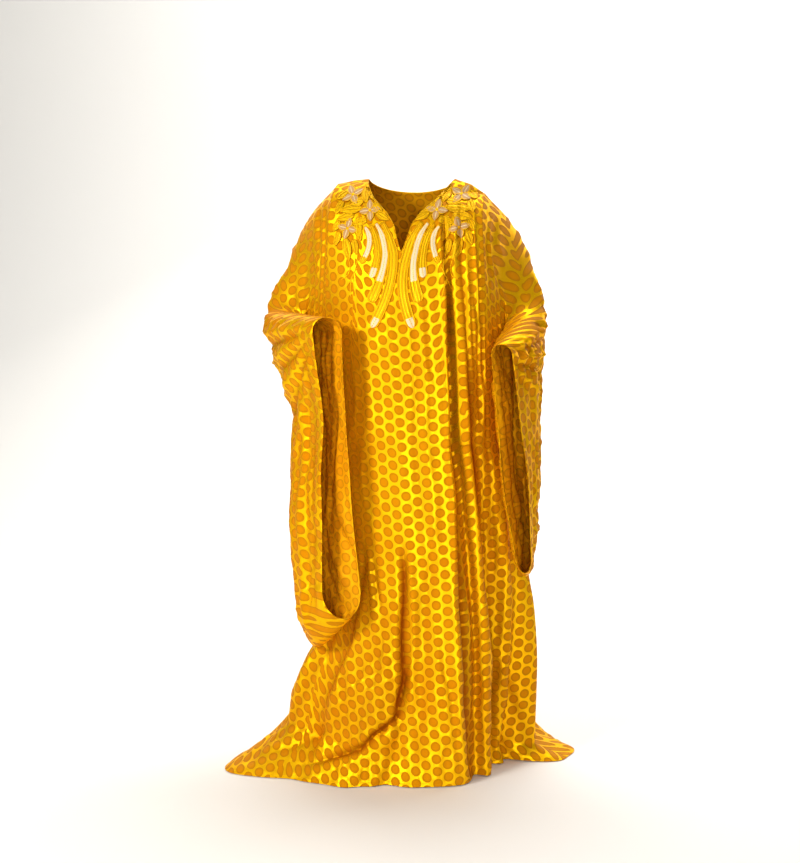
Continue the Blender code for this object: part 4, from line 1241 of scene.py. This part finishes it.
def raise_surface(tree, shader, relief, distance, strength):
    """Shades the surface as if the relief stood out from it."""
    bump = tree.nodes.new("ShaderNodeBump")
    bump.inputs["Distance"].default_value = distance
    bump.inputs["Strength"].default_value = strength
    tree.links.new(relief, bump.inputs["Height"])
    tree.links.new(bump.outputs[0], shader.inputs["Normal"])


def new_material(name):
    """A material's tree and its shader."""
    material = bpy.data.materials.new(name)
    material.use_nodes = True
    tree = material.node_tree
    return material, tree, tree.nodes["Principled BSDF"]


def places_on_cloth(tree, layer):
    """The piece's own places in metres, whole and as its two parts."""
    uv = tree.nodes.new("ShaderNodeUVMap")
    uv.uv_map = layer
    parts = tree.nodes.new("ShaderNodeSeparateXYZ")
    tree.links.new(uv.outputs[0], parts.inputs[0])
    return uv.outputs[0], parts.outputs[0], parts.outputs[1]


def dots_mask(tree, place):
    """1 on the woven dots and 0 on the satin between them, and how near a dot's rim is."""
    half_cell = (DOT_COLUMN, DOT_STEP / 2, 1)
    nearest = None
    for shift in ((0, 0, 0), (DOT_COLUMN, DOT_STEP / 2, 0)):
        moved = vector_node(tree, "ADD", place, shift)
        wrap = vector_node(tree, "WRAP", moved, half_cell, tuple(-v for v in half_cell))
        distance = vector_node(tree, "LENGTH", wrap)
        nearest = distance if nearest is None else math_node(tree, "MINIMUM", nearest, distance)
    outside = rising(tree, nearest, DOT_RADIUS - DOT_SOFT_EDGE, DOT_RADIUS + DOT_SOFT_EDGE)
    rim = rising(tree, nearest, DOT_RIM_STARTS * DOT_RADIUS, DOT_RADIUS)
    return math_node(tree, "SUBTRACT", 1.0, outside), rim


def warmed(tree, warm, colour, warmer):
    """The colour mixed with a warmer one, which keeps these shares of its red, green and blue."""
    kept = tuple(value * share for value, share in zip(colour, warmer))
    return mixed_colour(tree, warm, colour, kept)


def damask(name, satin, dots, satin_sheen):
    """Satin with woven dots. Its threads, hems and stitches are low relief."""
    material, tree, shader = new_material(name)
    place, across_place, down_place = places_on_cloth(tree, "cloth")
    position = tree.nodes.new("ShaderNodeTexCoord").outputs["Object"]

    # the dots' outlines waver a little
    waver = noise_node(tree, place, WAVER_SCALE, 2, output=1)
    centred = vector_node(tree, "SUBTRACT", waver, (0.5, 0.5, 0.5))
    small = tree.nodes.new("ShaderNodeVectorMath")
    small.operation = "SCALE"
    small.inputs["Scale"].default_value = WAVER_SIZE
    tree.links.new(centred, small.inputs[0])
    mask, rim = dots_mask(tree, vector_node(tree, "ADD", place, small.outputs[0]))

    # the colour, with soft clouds and with fine streaks down the cloth
    streaky = noise_node(tree, vector_node(tree, "MULTIPLY", place, STREAK_SCALES), 1, 2)
    warm = rising(tree, noise_node(tree, position, CLOUD_SCALE, 3), *CLOUD_RANGE)
    satin_colour = warmed(tree, warm, satin, WARMER_SATIN)
    dot_colour = warmed(tree, warm, dots, WARMER_DOTS)
    rim_share = math_node(tree, "MULTIPLY", rim, DOT_RIM_SHARE)
    colour = mixed_colour(tree, mask, satin_colour, mixed_colour(tree, rim_share, dot_colour, DOT_RIM))
    colour = mixed_colour(tree, math_node(tree, "MULTIPLY", streaky, STREAK_SHARE), colour, STREAK)
    # painted shade: the colour darkens towards FOLD_SHADE down in the creases and in the shaded strips
    colour = mixed_colour(tree, own_value(tree, "fold"), colour, FOLD_SHADE)
    tree.links.new(colour, shader.inputs["Base Color"])

    # the satin shines and the dots are dull
    rough = math_node(tree, "MULTIPLY_ADD", mask, DOT_ROUGHER, SATIN_ROUGHNESS)
    rough = math_node(tree, "MULTIPLY_ADD", streaky, STREAK_ROUGHER, rough)
    tree.links.new(rough, shader.inputs["Roughness"])
    metal = math_node(tree, "MULTIPLY_ADD", mask, -satin_sheen, satin_sheen)
    tree.links.new(metal, shader.inputs["Metallic"])
    shader.inputs["Specular IOR Level"].default_value = SATIN_SPECULAR
    shader.inputs["Specular Tint"].default_value = (*SATIN_GLINT, 1)

    # a hem is one layer thicker, with a line of stitches just inside its fold
    from_edge = own_value(tree, "edge")
    past_hem = rising(tree, from_edge, HEM_WIDTH - HEM_SOFT_EDGE, HEM_WIDTH + HEM_SOFT_EDGE)
    hem = math_node(tree, "SUBTRACT", 1.0, past_hem)
    from_line = math_node(tree, "SUBTRACT", from_edge, HEM_WIDTH - STITCH_INSET)
    off_line = rising(tree, math_node(tree, "ABSOLUTE", from_line), *STITCH_HALF)
    line = math_node(tree, "SUBTRACT", 1.0, off_line)
    dash = waves(tree, math_node(tree, "ADD", across_place, down_place), HEM_STITCH)
    stitch = math_node(tree, "MULTIPLY", line, rising(tree, dash, *STITCH_DASH))

    # twill on the satin, and level threads in the dots, which lie a little lower
    twill = waves(tree, math_node(tree, "SUBTRACT", down_place, across_place), TWILL_STEP)
    threads = waves(tree, down_place, DOT_THREAD_STEP)
    weave = math_node(tree, "MULTIPLY", twill, math_node(tree, "SUBTRACT", 1.0, mask))
    weave = math_node(tree, "MULTIPLY_ADD", threads, mask, weave)
    relief = math_node(tree, "MULTIPLY", weave, WEAVE_RELIEF)
    relief = math_node(tree, "MULTIPLY_ADD", mask, DOT_RELIEF, relief)
    relief = math_node(tree, "MULTIPLY_ADD", streaky, STREAK_RELIEF, relief)
    relief = math_node(tree, "ADD", hem, relief)
    relief = math_node(tree, "MULTIPLY_ADD", stitch, STITCH_RELIEF, relief)
    raise_surface(tree, shader, relief, CLOTH_RELIEF, CLOTH_RELIEF_SHARE)
    return material


def stitched_thread(name):
    """Satin stitch in gold or cream, as the piece's tone says, with its threads as fine ridges."""
    material, tree, shader = new_material(name)
    place, across_place, down_place = places_on_cloth(tree, "cloth")
    tone = own_value(tree, "tone")
    uneven = noise_node(tree, vector_node(tree, "MULTIPLY", place, UNEVEN_SCALES), 1, 2)
    cream = math_node(tree, "MINIMUM", math_node(tree, "MAXIMUM", tone, 0.0), 1.0)
    petal = math_node(tree, "MAXIMUM", math_node(tree, "SUBTRACT", tone, 1.0), 0.0)
    # below 0 the tone darkens the thread: a deeper gold, and painted shade at the stitching's rims and
    # grooves
    deep_and_shade = math_node(tree, "MAXIMUM", math_node(tree, "MULTIPLY", tone, -1.0), 0.0)
    colour = mixed_colour(tree, cream, GOLD_THREAD, CREAM_THREAD)
    colour = mixed_colour(tree, petal, colour, PETAL_THREAD)
    colour = mixed_colour(tree, deep_and_shade, colour, DEEP_THREAD_AND_SHADE)
    shade = math_node(tree, "MULTIPLY", rising(tree, uneven, *UNEVEN_RANGE), UNEVEN_SHARE)
    colour = mixed_colour(tree, shade, colour, UNEVEN_THREAD)
    tree.links.new(colour, shader.inputs["Base Color"])
    metal = math_node(tree, "MULTIPLY_ADD", cream, CREAM_LOSS, GOLD_SHEEN)
    tree.links.new(metal, shader.inputs["Metallic"])
    rough = math_node(tree, "MULTIPLY_ADD", uneven, UNEVEN_ROUGHER, THREAD_ROUGHNESS)
    tree.links.new(rough, shader.inputs["Roughness"])
    shader.inputs["Specular IOR Level"].default_value = THREAD_SPECULAR
    shader.inputs["Specular Tint"].default_value = (*THREAD_GLINT, 1)
    slant = math_node(tree, "MULTIPLY_ADD", across_place, THREAD_SLANT, down_place)
    relief = math_node(tree, "MULTIPLY", waves(tree, slant, THREAD_STEP), RIDGE_RELIEF)
    relief = math_node(tree, "MULTIPLY_ADD", uneven, UNEVEN_RELIEF, relief)
    raise_surface(tree, shader, relief, THREAD_RELIEF, THREAD_RELIEF_SHARE)
    return material


def sewn_grid(columns, rows, place):
    """A flat grid of stitching. place gives each point's half, drop, height, tone and own place."""
    sheet = bmesh.new()
    uv = sheet.loops.layers.uv.new("cloth")
    height = sheet.verts.layers.float.new("height")
    tone = sheet.verts.layers.float.new("tone")
    bmesh.ops.create_grid(sheet, x_segments=columns, y_segments=rows, size=0.5)
    own = {}
    for vert in sheet.verts:
        half, drop, vert[height], vert[tone], own[vert] = place(vert.co.x + 0.5, vert.co.y + 0.5)
        vert.co = (half, 0, -drop)
    for face in sheet.faces:
        for loop in face.loops:
            loop[uv].uv = own[loop.vert]
    bmesh.ops.remove_doubles(sheet, verts=sheet.verts, dist=WELD)
    return sheet


def rounded(t):
    """quarter_round for one plain number."""
    return math.sqrt(max(0.0, 1 - (1 - min(1, max(0, t))) ** 2))


def bowed(start, bow, tip, t):
    """A place along a line that bows between its start and its tip."""
    return (1 - t) ** 2 * start + 2 * t * (1 - t) * bow + t * t * tip


def bowed_run(start, bow, tip, t):
    """How fast such a place moves."""
    return (1 - t) * (bow - start) + t * (tip - bow)


def padded_profile(across_band, cord_share, cord_height, fill_height):
    """The height of a band's stitching across it: a cord along each edge and a padded middle."""
    off = abs(2 * across_band - 1)
    middle = 1 - 2 * cord_share
    if off > middle:
        return cord_height * rounded(1 - abs((off - (1 - cord_share)) / cord_share))
    return fill_height * math.sqrt(max(0.0, 1 - (off / middle) ** 2 * PAD_ROUNDING))


def band_stitching(band, cream, flare):
    """A band like the solid's, with a cord along each edge and a padded middle."""
    length = Vector((band.tip - band.half, band.tip_drop - band.drop)).length
    width = band.width + BAND_SPREAD

    def place(across_band, t):
        run_half = bowed_run(band.half, band.bow, band.tip, t)
        run_drop = bowed_run(band.drop, band.bow_drop, band.tip_drop, t)
        run = Vector((run_half, run_drop)).normalized()
        start = BAND_START + (1 - BAND_START) * float(ease(t, 0, BAND_FULL))
        flared = 1 + flare * float(ease(t, *BAND_FLARE))
        round_end = float(quarter_round((1 - t) * length / (0.5 * width)))
        off = (across_band - 0.5) * width * start * flared * round_end
        half = bowed(band.half, band.bow, band.tip, t) + run.y * off
        drop = bowed(band.drop, band.bow_drop, band.tip_drop, t) - run.x * off
        height = padded_profile(across_band, BAND_CORD_SHARE, BAND_CORD_HEIGHT, BAND_FILL_HEIGHT)
        height = height * float(ease(t, 0, BAND_ENDS[0]) * (1 - ease(t, BAND_ENDS[1], 1)))
        off_share = abs(2 * across_band - 1)
        # painted shade: a dark line where the padded middle falls away to the cord, and a shadow line
        # along the rim
        if off_share > BAND_RIM_STARTS or BAND_MIDDLE < off_share < BAND_CORD_STARTS:
            tone = BAND_SHADE_LINE
        elif off_share >= BAND_CORD_STARTS:
            tone = GOLD
        elif cream[0] < t < cream[1]:
            in_dash = off_share < DASH_HALF and (length * t) % DASH_STEP < DASH_LENGTH
            tone = DASH_TONE if in_dash else CREAM
        else:
            # the grooves between the ribs are darkened as painted shade
            rib = 0.5 - 0.5 * math.cos(off_share * 2 * math.pi / BAND_MIDDLE)
            height = height - RIB_DEPTH * (1 - rib)
            tone = RIB_GROOVE_SHADE * (1 - rib) ** 2
        return half, drop, max(height, LEAST_HEIGHT), tone, (off, length * t)

    return sewn_grid(*BAND_GRID, place)


def grown(leaf, spread, stretch):
    """The leaf made wider, and longer at both tips."""
    way = Vector((leaf.tip - leaf.half, leaf.tip_drop - leaf.drop)).normalized()
    return Leaf(
        leaf.half - way.x * stretch,
        leaf.drop - way.y * stretch,
        leaf.tip + way.x * stretch,
        leaf.tip_drop + way.y * stretch,
        leaf.width + spread,
    )


def leaf_stitching(leaf, tone=LEAF_TONE):
    """A leaf with a cord round it and two padded halves that meet at its vein."""
    run = Vector((leaf.tip - leaf.half, leaf.tip_drop - leaf.drop))

    def place(across_leaf, t):
        from_stem = LEAF_CUT_STEM + (1 - LEAF_CUT_STEM) * t
        swell = math.sin(math.pi * min(1.0, from_stem) ** LEAF_FULLNESS) ** LEAF_FULLNESS
        swell = LEAF_LEAST_WIDTH + (1 - LEAF_LEAST_WIDTH) * swell
        off = (across_leaf - 0.5) * leaf.width * swell / run.length
        half = leaf.half + run.x * t + run.y * off
        drop = leaf.drop + run.y * t - run.x * off
        height = padded_profile(across_leaf, LEAF_CORD_SHARE, LEAF_CORD_HEIGHT, LEAF_FILL_HEIGHT)
        vein = math.exp(-(((across_leaf - 0.5) / VEIN_WIDTH) ** 2))
        ends = float(ease(t, 0, LEAF_ENDS[0]) * (1 - ease(t, LEAF_ENDS[1], 1)))
        height = (height - VEIN_DEPTH * vein) * ends
        off_share = abs(2 * across_leaf - 1)
        inside = tone - (VEIN_TONE + tone * VEIN_TONE_SHARE) * vein
        # painted shade: a shadow line along the leaf's rim and a dark line where its padded halves fall
        # to the cord
        if off_share > LEAF_RIM_STARTS:
            inside = PAINTED_RIM_SHADE
        elif off_share >= LEAF_CORD_STARTS:
            inside = GOLD
        elif off_share > LEAF_MIDDLE:
            inside = min(inside, LEAF_SHADE_LINE)
        own = (off * run.length, run.length * t + abs(off) * LEAF_SLANT)
        return half, drop, max(height, LEAST_HEIGHT), inside, own

    return sewn_grid(*LEAF_GRID, place)


def flower_stitching(flower):
    """A flower of padded petals round a raised gold heart."""
    made = bmesh.new()
    for petal in range(PETALS):
        angle = math.radians(flower.turn) + 2 * math.pi * petal / PETALS
        way = Vector((math.cos(angle), math.sin(angle)))
        base = PETAL_STARTS * flower.radius
        tip = flower.radius + PETAL_STRETCH
        leaf = Leaf(
            flower.half + way.x * base,
            flower.drop + way.y * base,
            flower.half + way.x * tip,
            flower.drop + way.y * tip,
            PETAL_WIDTH * flower.radius + PETAL_STRETCH,
        )
        join_shape(made, leaf_stitching(leaf, PETAL))
    heart = flower.radius * HEART_SHARE

    def place(round_heart, out):
        angle = 2 * math.pi * round_heart
        half = flower.half + out * heart * math.cos(angle)
        drop = flower.drop + out * heart * math.sin(angle)
        height = HEART_HEIGHT * math.sqrt(max(0, 1 - out**2)) + LEAST_HEIGHT
        return half, drop, height, GOLD, (out * heart, angle * heart)

    join_shape(made, sewn_grid(*HEART_GRID, place))
    return made


def join_shape(target, shape):
    """Adds one shape's mesh to another, layers and all."""
    mesh = bpy.data.meshes.new("joined")
    shape.to_mesh(mesh)
    shape.free()
    target.from_mesh(mesh)
    bpy.data.meshes.remove(mesh)


def middle_line(drop):
    """Where the front's middle line is at a drop. It leans below the slit."""
    return MIDDLE_SHIFT + MIDDLE_LEAN * max(drop - SLIT_DROP, 0)


def on_panel(panel, side, half, drop):
    """The point of the front, and the way it faces, at a distance from its middle line."""
    x = middle_line(drop) + side * half
    hit, normal = panel.ray_cast(Vector((x, SEARCH_FROM, -drop)), Vector((0, 1, 0)))[:2]
    if hit is None:
        hit, normal = panel.find_nearest(Vector((x, SEARCH_NEAR, -drop)))[:2]
    return hit, normal if normal.y < 0 else -normal


def sew_on(panel, sheet, side):
    """Moves a flat sheet of stitching onto the panel and closes it into a raised shape."""
    height = sheet.verts.layers.float["height"]
    facing = sheet.verts.layers.float_vector.new("facing")
    for vert in sheet.verts:
        hit, normal = on_panel(panel, side, vert.co.x, -vert.co.z)
        vert[facing] = normal
        vert.co = hit - normal * SUNK
    made = bmesh.ops.extrude_face_region(sheet, geom=sheet.faces[:], use_keep_orig=True)
    for part in made["geom"]:
        if isinstance(part, bmesh.types.BMVert):
            part.co += part[facing] * (SUNK + part[height])
    bmesh.ops.recalc_face_normals(sheet, faces=sheet.faces)


def laid_cord(path, facings, radius):
    """A thin cord through points on the cloth, tapered at both ends."""
    cord = bmesh.new()
    uv = cord.loops.layers.uv.new("cloth")
    cord.verts.layers.float.new("tone")
    count = len(path)
    bmesh.ops.create_grid(cord, x_segments=CORD_SIDES, y_segments=count - 1, size=0.5)
    run = np.gradient(path, axis=0)
    run = run / np.linalg.norm(run, axis=1, keepdims=True)
    beside = np.cross(run, facings)
    beside = beside / np.linalg.norm(beside, axis=1, keepdims=True)
    length = lengths(path[None], 1)[0]
    own = {}
    for vert in cord.verts:
        turn = 2 * math.pi * (vert.co.x + 0.5)
        row = round((vert.co.y + 0.5) * (count - 1))
        size = radius * rounded(min(row, count - 1 - row) / CORD_TAPER)
        middle = path[row] + facings[row] * radius * CORD_LIFT
        around = beside[row] * math.cos(turn) + facings[row] * math.sin(turn)
        vert.co = Vector(middle + size * around)
        own[vert] = (turn * radius, length[row])
    for face in cord.faces:
        for loop in face.loops:
            loop[uv].uv = own[loop.vert]
    bmesh.ops.remove_doubles(cord, verts=cord.verts, dist=CORD_WELD)
    bmesh.ops.recalc_face_normals(cord, faces=cord.faces)
    return cord


def scroll_cord(panel, scroll, side):
    """A thin cord of stitching that bows like the bands."""
    hits = []
    for t in np.linspace(0, 1, SCROLL_POINTS):
        half = bowed(scroll.half, scroll.bow, scroll.tip, t)
        drop = bowed(scroll.drop, scroll.bow_drop, scroll.tip_drop, t)
        hits.append(on_panel(panel, side, float(half), float(drop)))
    path = np.array([tuple(hit) for hit, _ in hits])
    facings = np.array([tuple(normal) for _, normal in hits])
    return laid_cord(path, facings, SCROLL_RADIUS)


def neck_cord(face):
    """The cord along the neck edge of the front, face -1, or the back, face 1."""
    s, drop = panel_grid(face)
    points = panel_points(s, drop, face)
    inside = np.abs(points[0, :, 0]) < NECK_HALF + NECK_CORD_PAST
    path = points[0][inside]
    facings = points[0][inside] - points[2][inside]
    facings = facings / np.linalg.norm(facings, axis=1, keepdims=True)
    return laid_cord(path, facings, NECK_CORD_RADIUS)


def stitch_side(panel, side, side_name, thread):
    """The ornament on one side of the slit."""
    for number, (band, cream, flare) in enumerate(zip(BANDS, BAND_CREAM, BAND_FLARES), 1):
        sheet = band_stitching(band, cream, flare)
        sew_on(panel, sheet, side)
        made = finished(f"band_{side_name}_{number}_stitched", sheet, "gold_thread", thread)
        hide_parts(f"band_{side_name}_{number}")
    for number, flower in enumerate(FLOWERS, 1):
        sheet = flower_stitching(flower)
        sew_on(panel, sheet, side)
        made = finished(f"flower_{side_name}_{number}_stitched", sheet, "cream_thread", thread)
        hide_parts(f"flower_{side_name}_{number}")
    for number, leaf in enumerate(LEAVES, 1):
        sheet = leaf_stitching(grown(leaf, LEAF_SPREAD, LEAF_STRETCH))
        sew_on(panel, sheet, side)
        made = finished(f"leaf_{side_name}_{number}_stitched", sheet, "gold_thread", thread)
        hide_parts(f"leaf_{side_name}_{number}")
    small = bmesh.new()
    for leaf in SMALL_LEAVES:
        join_shape(small, leaf_stitching(grown(leaf, SMALL_LEAF_SPREAD, SMALL_LEAF_STRETCH)))
    sew_on(panel, small, side)
    for scroll in SCROLLS:
        join_shape(small, scroll_cord(panel, scroll, side))
    finished(f"small_stitching_{side_name}", small, "gold_thread", thread)


def make_camera():
    """The photograph's viewing angle."""
    sine, cosine = math.sin(CAMERA_AZIMUTH), math.cos(CAMERA_AZIMUTH)
    right = Vector((cosine, sine, 0))
    level = math.cos(CAMERA_PITCH)
    look = Vector((-sine * level, cosine * level, -math.sin(CAMERA_PITCH)))
    up = right.cross(look)
    eye = Vector((CAMERA_DISTANCE * sine, -CAMERA_DISTANCE * cosine, CAMERA_HEIGHT))
    eye = eye + right * CAMERA_SHIFT
    data = bpy.data.cameras.new("camera")
    data.sensor_fit = "VERTICAL"
    data.sensor_height = SENSOR_HEIGHT
    data.lens = LENS
    camera = placed("camera", data)
    camera.matrix_world = Matrix((
        (right.x, up.x, -look.x, eye.x),
        (right.y, up.y, -look.y, eye.y),
        (right.z, up.z, -look.z, eye.z),
        (0, 0, 0, 1),
    ))
    bpy.context.scene.camera = camera


def make_lamp(lamp):
    """A square soft light that faces its target."""
    data = bpy.data.lights.new(lamp.name, "AREA")
    data.size = lamp.size
    data.energy = lamp.power
    data.color = lamp.colour
    made = placed(lamp.name, data)
    made.location = lamp.place
    way = Vector(lamp.target) - Vector(lamp.place)
    made.rotation_euler = way.to_track_quat("-Z", "Y").to_euler()


def make_studio():
    """A plain pale floor, its surround and its lights, the key from the dress's right."""
    low = cad_bounds[0].z - FLOOR_GAP
    floor = bmesh.new()
    profile = [(FLOOR_FRONT, low), (SWEEP_START, low)]
    for i in range(1, SWEEP_STEPS + 1):
        turn = math.pi / 2 * i / SWEEP_STEPS
        y = SWEEP_START + SWEEP_RADIUS * math.sin(turn)
        profile.append((y, low + SWEEP_RADIUS * (1 - math.cos(turn))))
    profile.append((SWEEP_START + SWEEP_RADIUS, low + SWEEP_TOP))
    rows = [[floor.verts.new((x, y, z)) for x in (-FLOOR_HALF, FLOOR_HALF)] for y, z in profile]
    for i in range(len(rows) - 1):
        face = floor.faces.new((rows[i][0], rows[i][1], rows[i + 1][1], rows[i + 1][0]))
        face.smooth = True
    mesh = bpy.data.meshes.new("floor")
    floor.to_mesh(mesh)
    floor.free()
    material, _, shader = new_material("pale_floor")
    shader.inputs["Base Color"].default_value = (*FLOOR_COLOUR, 1)
    shader.inputs["Roughness"].default_value = FLOOR_ROUGHNESS
    mesh.materials.append(material)
    made = placed("floor", mesh)
    world = bpy.data.worlds.new("surround")
    bpy.context.scene.world = world
    world.use_nodes = True
    background = world.node_tree.nodes["Background"]
    background.inputs["Color"].default_value = (*SURROUND, 1)
    background.inputs["Strength"].default_value = SURROUND_STRENGTH
    for lamp in LAMPS:
        make_lamp(lamp)
    bpy.context.scene.view_settings.view_transform = "Standard"


def dress():
    """Makes every piece of the dress."""
    right_side = damask("damask_right_side", SATIN, DOTS, SATIN_SHEEN)
    # the wrong side is the reverse of the damask, lightened as painted light for the unlit sleeve
    # insides
    wrong_side_and_painted_light = damask("damask_wrong_side", WRONG_SATIN_AND_PAINTED_LIGHT, WRONG_DOTS_AND_PAINTED_LIGHT, WRONG_SHEEN)
    thread = stitched_thread("stitched_thread")
    right = (RIGHT_SLEEVE, RIGHT_SLEEVE_FOLDS, -1, RIGHT_OUTER_CREASES, RIGHT_INNER_CREASES)
    left = (LEFT_SLEEVE, LEFT_SLEEVE_FOLDS, 1, LEFT_OUTER_CREASES, LEFT_INNER_CREASES)
    sheets = {
        "front": panel_sheet(-1, FRONT_CREASES, FRONT_SHADES, SEEDS["front"]),
        "back": panel_sheet(1, BACK_CREASES, (), SEEDS["back"]),
        "sleeve_right": sleeve_sheet(*right, SEEDS["sleeve_right"]),
        "sleeve_left": sleeve_sheet(*left, SEEDS["sleeve_left"]),
    }
    for name, sheet in sheets.items():
        face_outwards(sheet, OUTWARDS[name])
    panel = BVHTree.FromBMesh(sheets["front"])
    for name, sheet in sheets.items():
        piece = finished(f"{name}_cloth", sheet, "damask", right_side, wrong_side_and_painted_light)
        give_thickness(piece)
        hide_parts(name)
    cords = bmesh.new()
    for face in (-1, 1):
        join_shape(cords, neck_cord(face))
    finished("neck_cord", cords, "gold_thread", thread)
    for side, side_name in ((-1, "right"), (1, "left")):
        stitch_side(panel, side, side_name, thread)


make_camera()
make_studio()
dress()
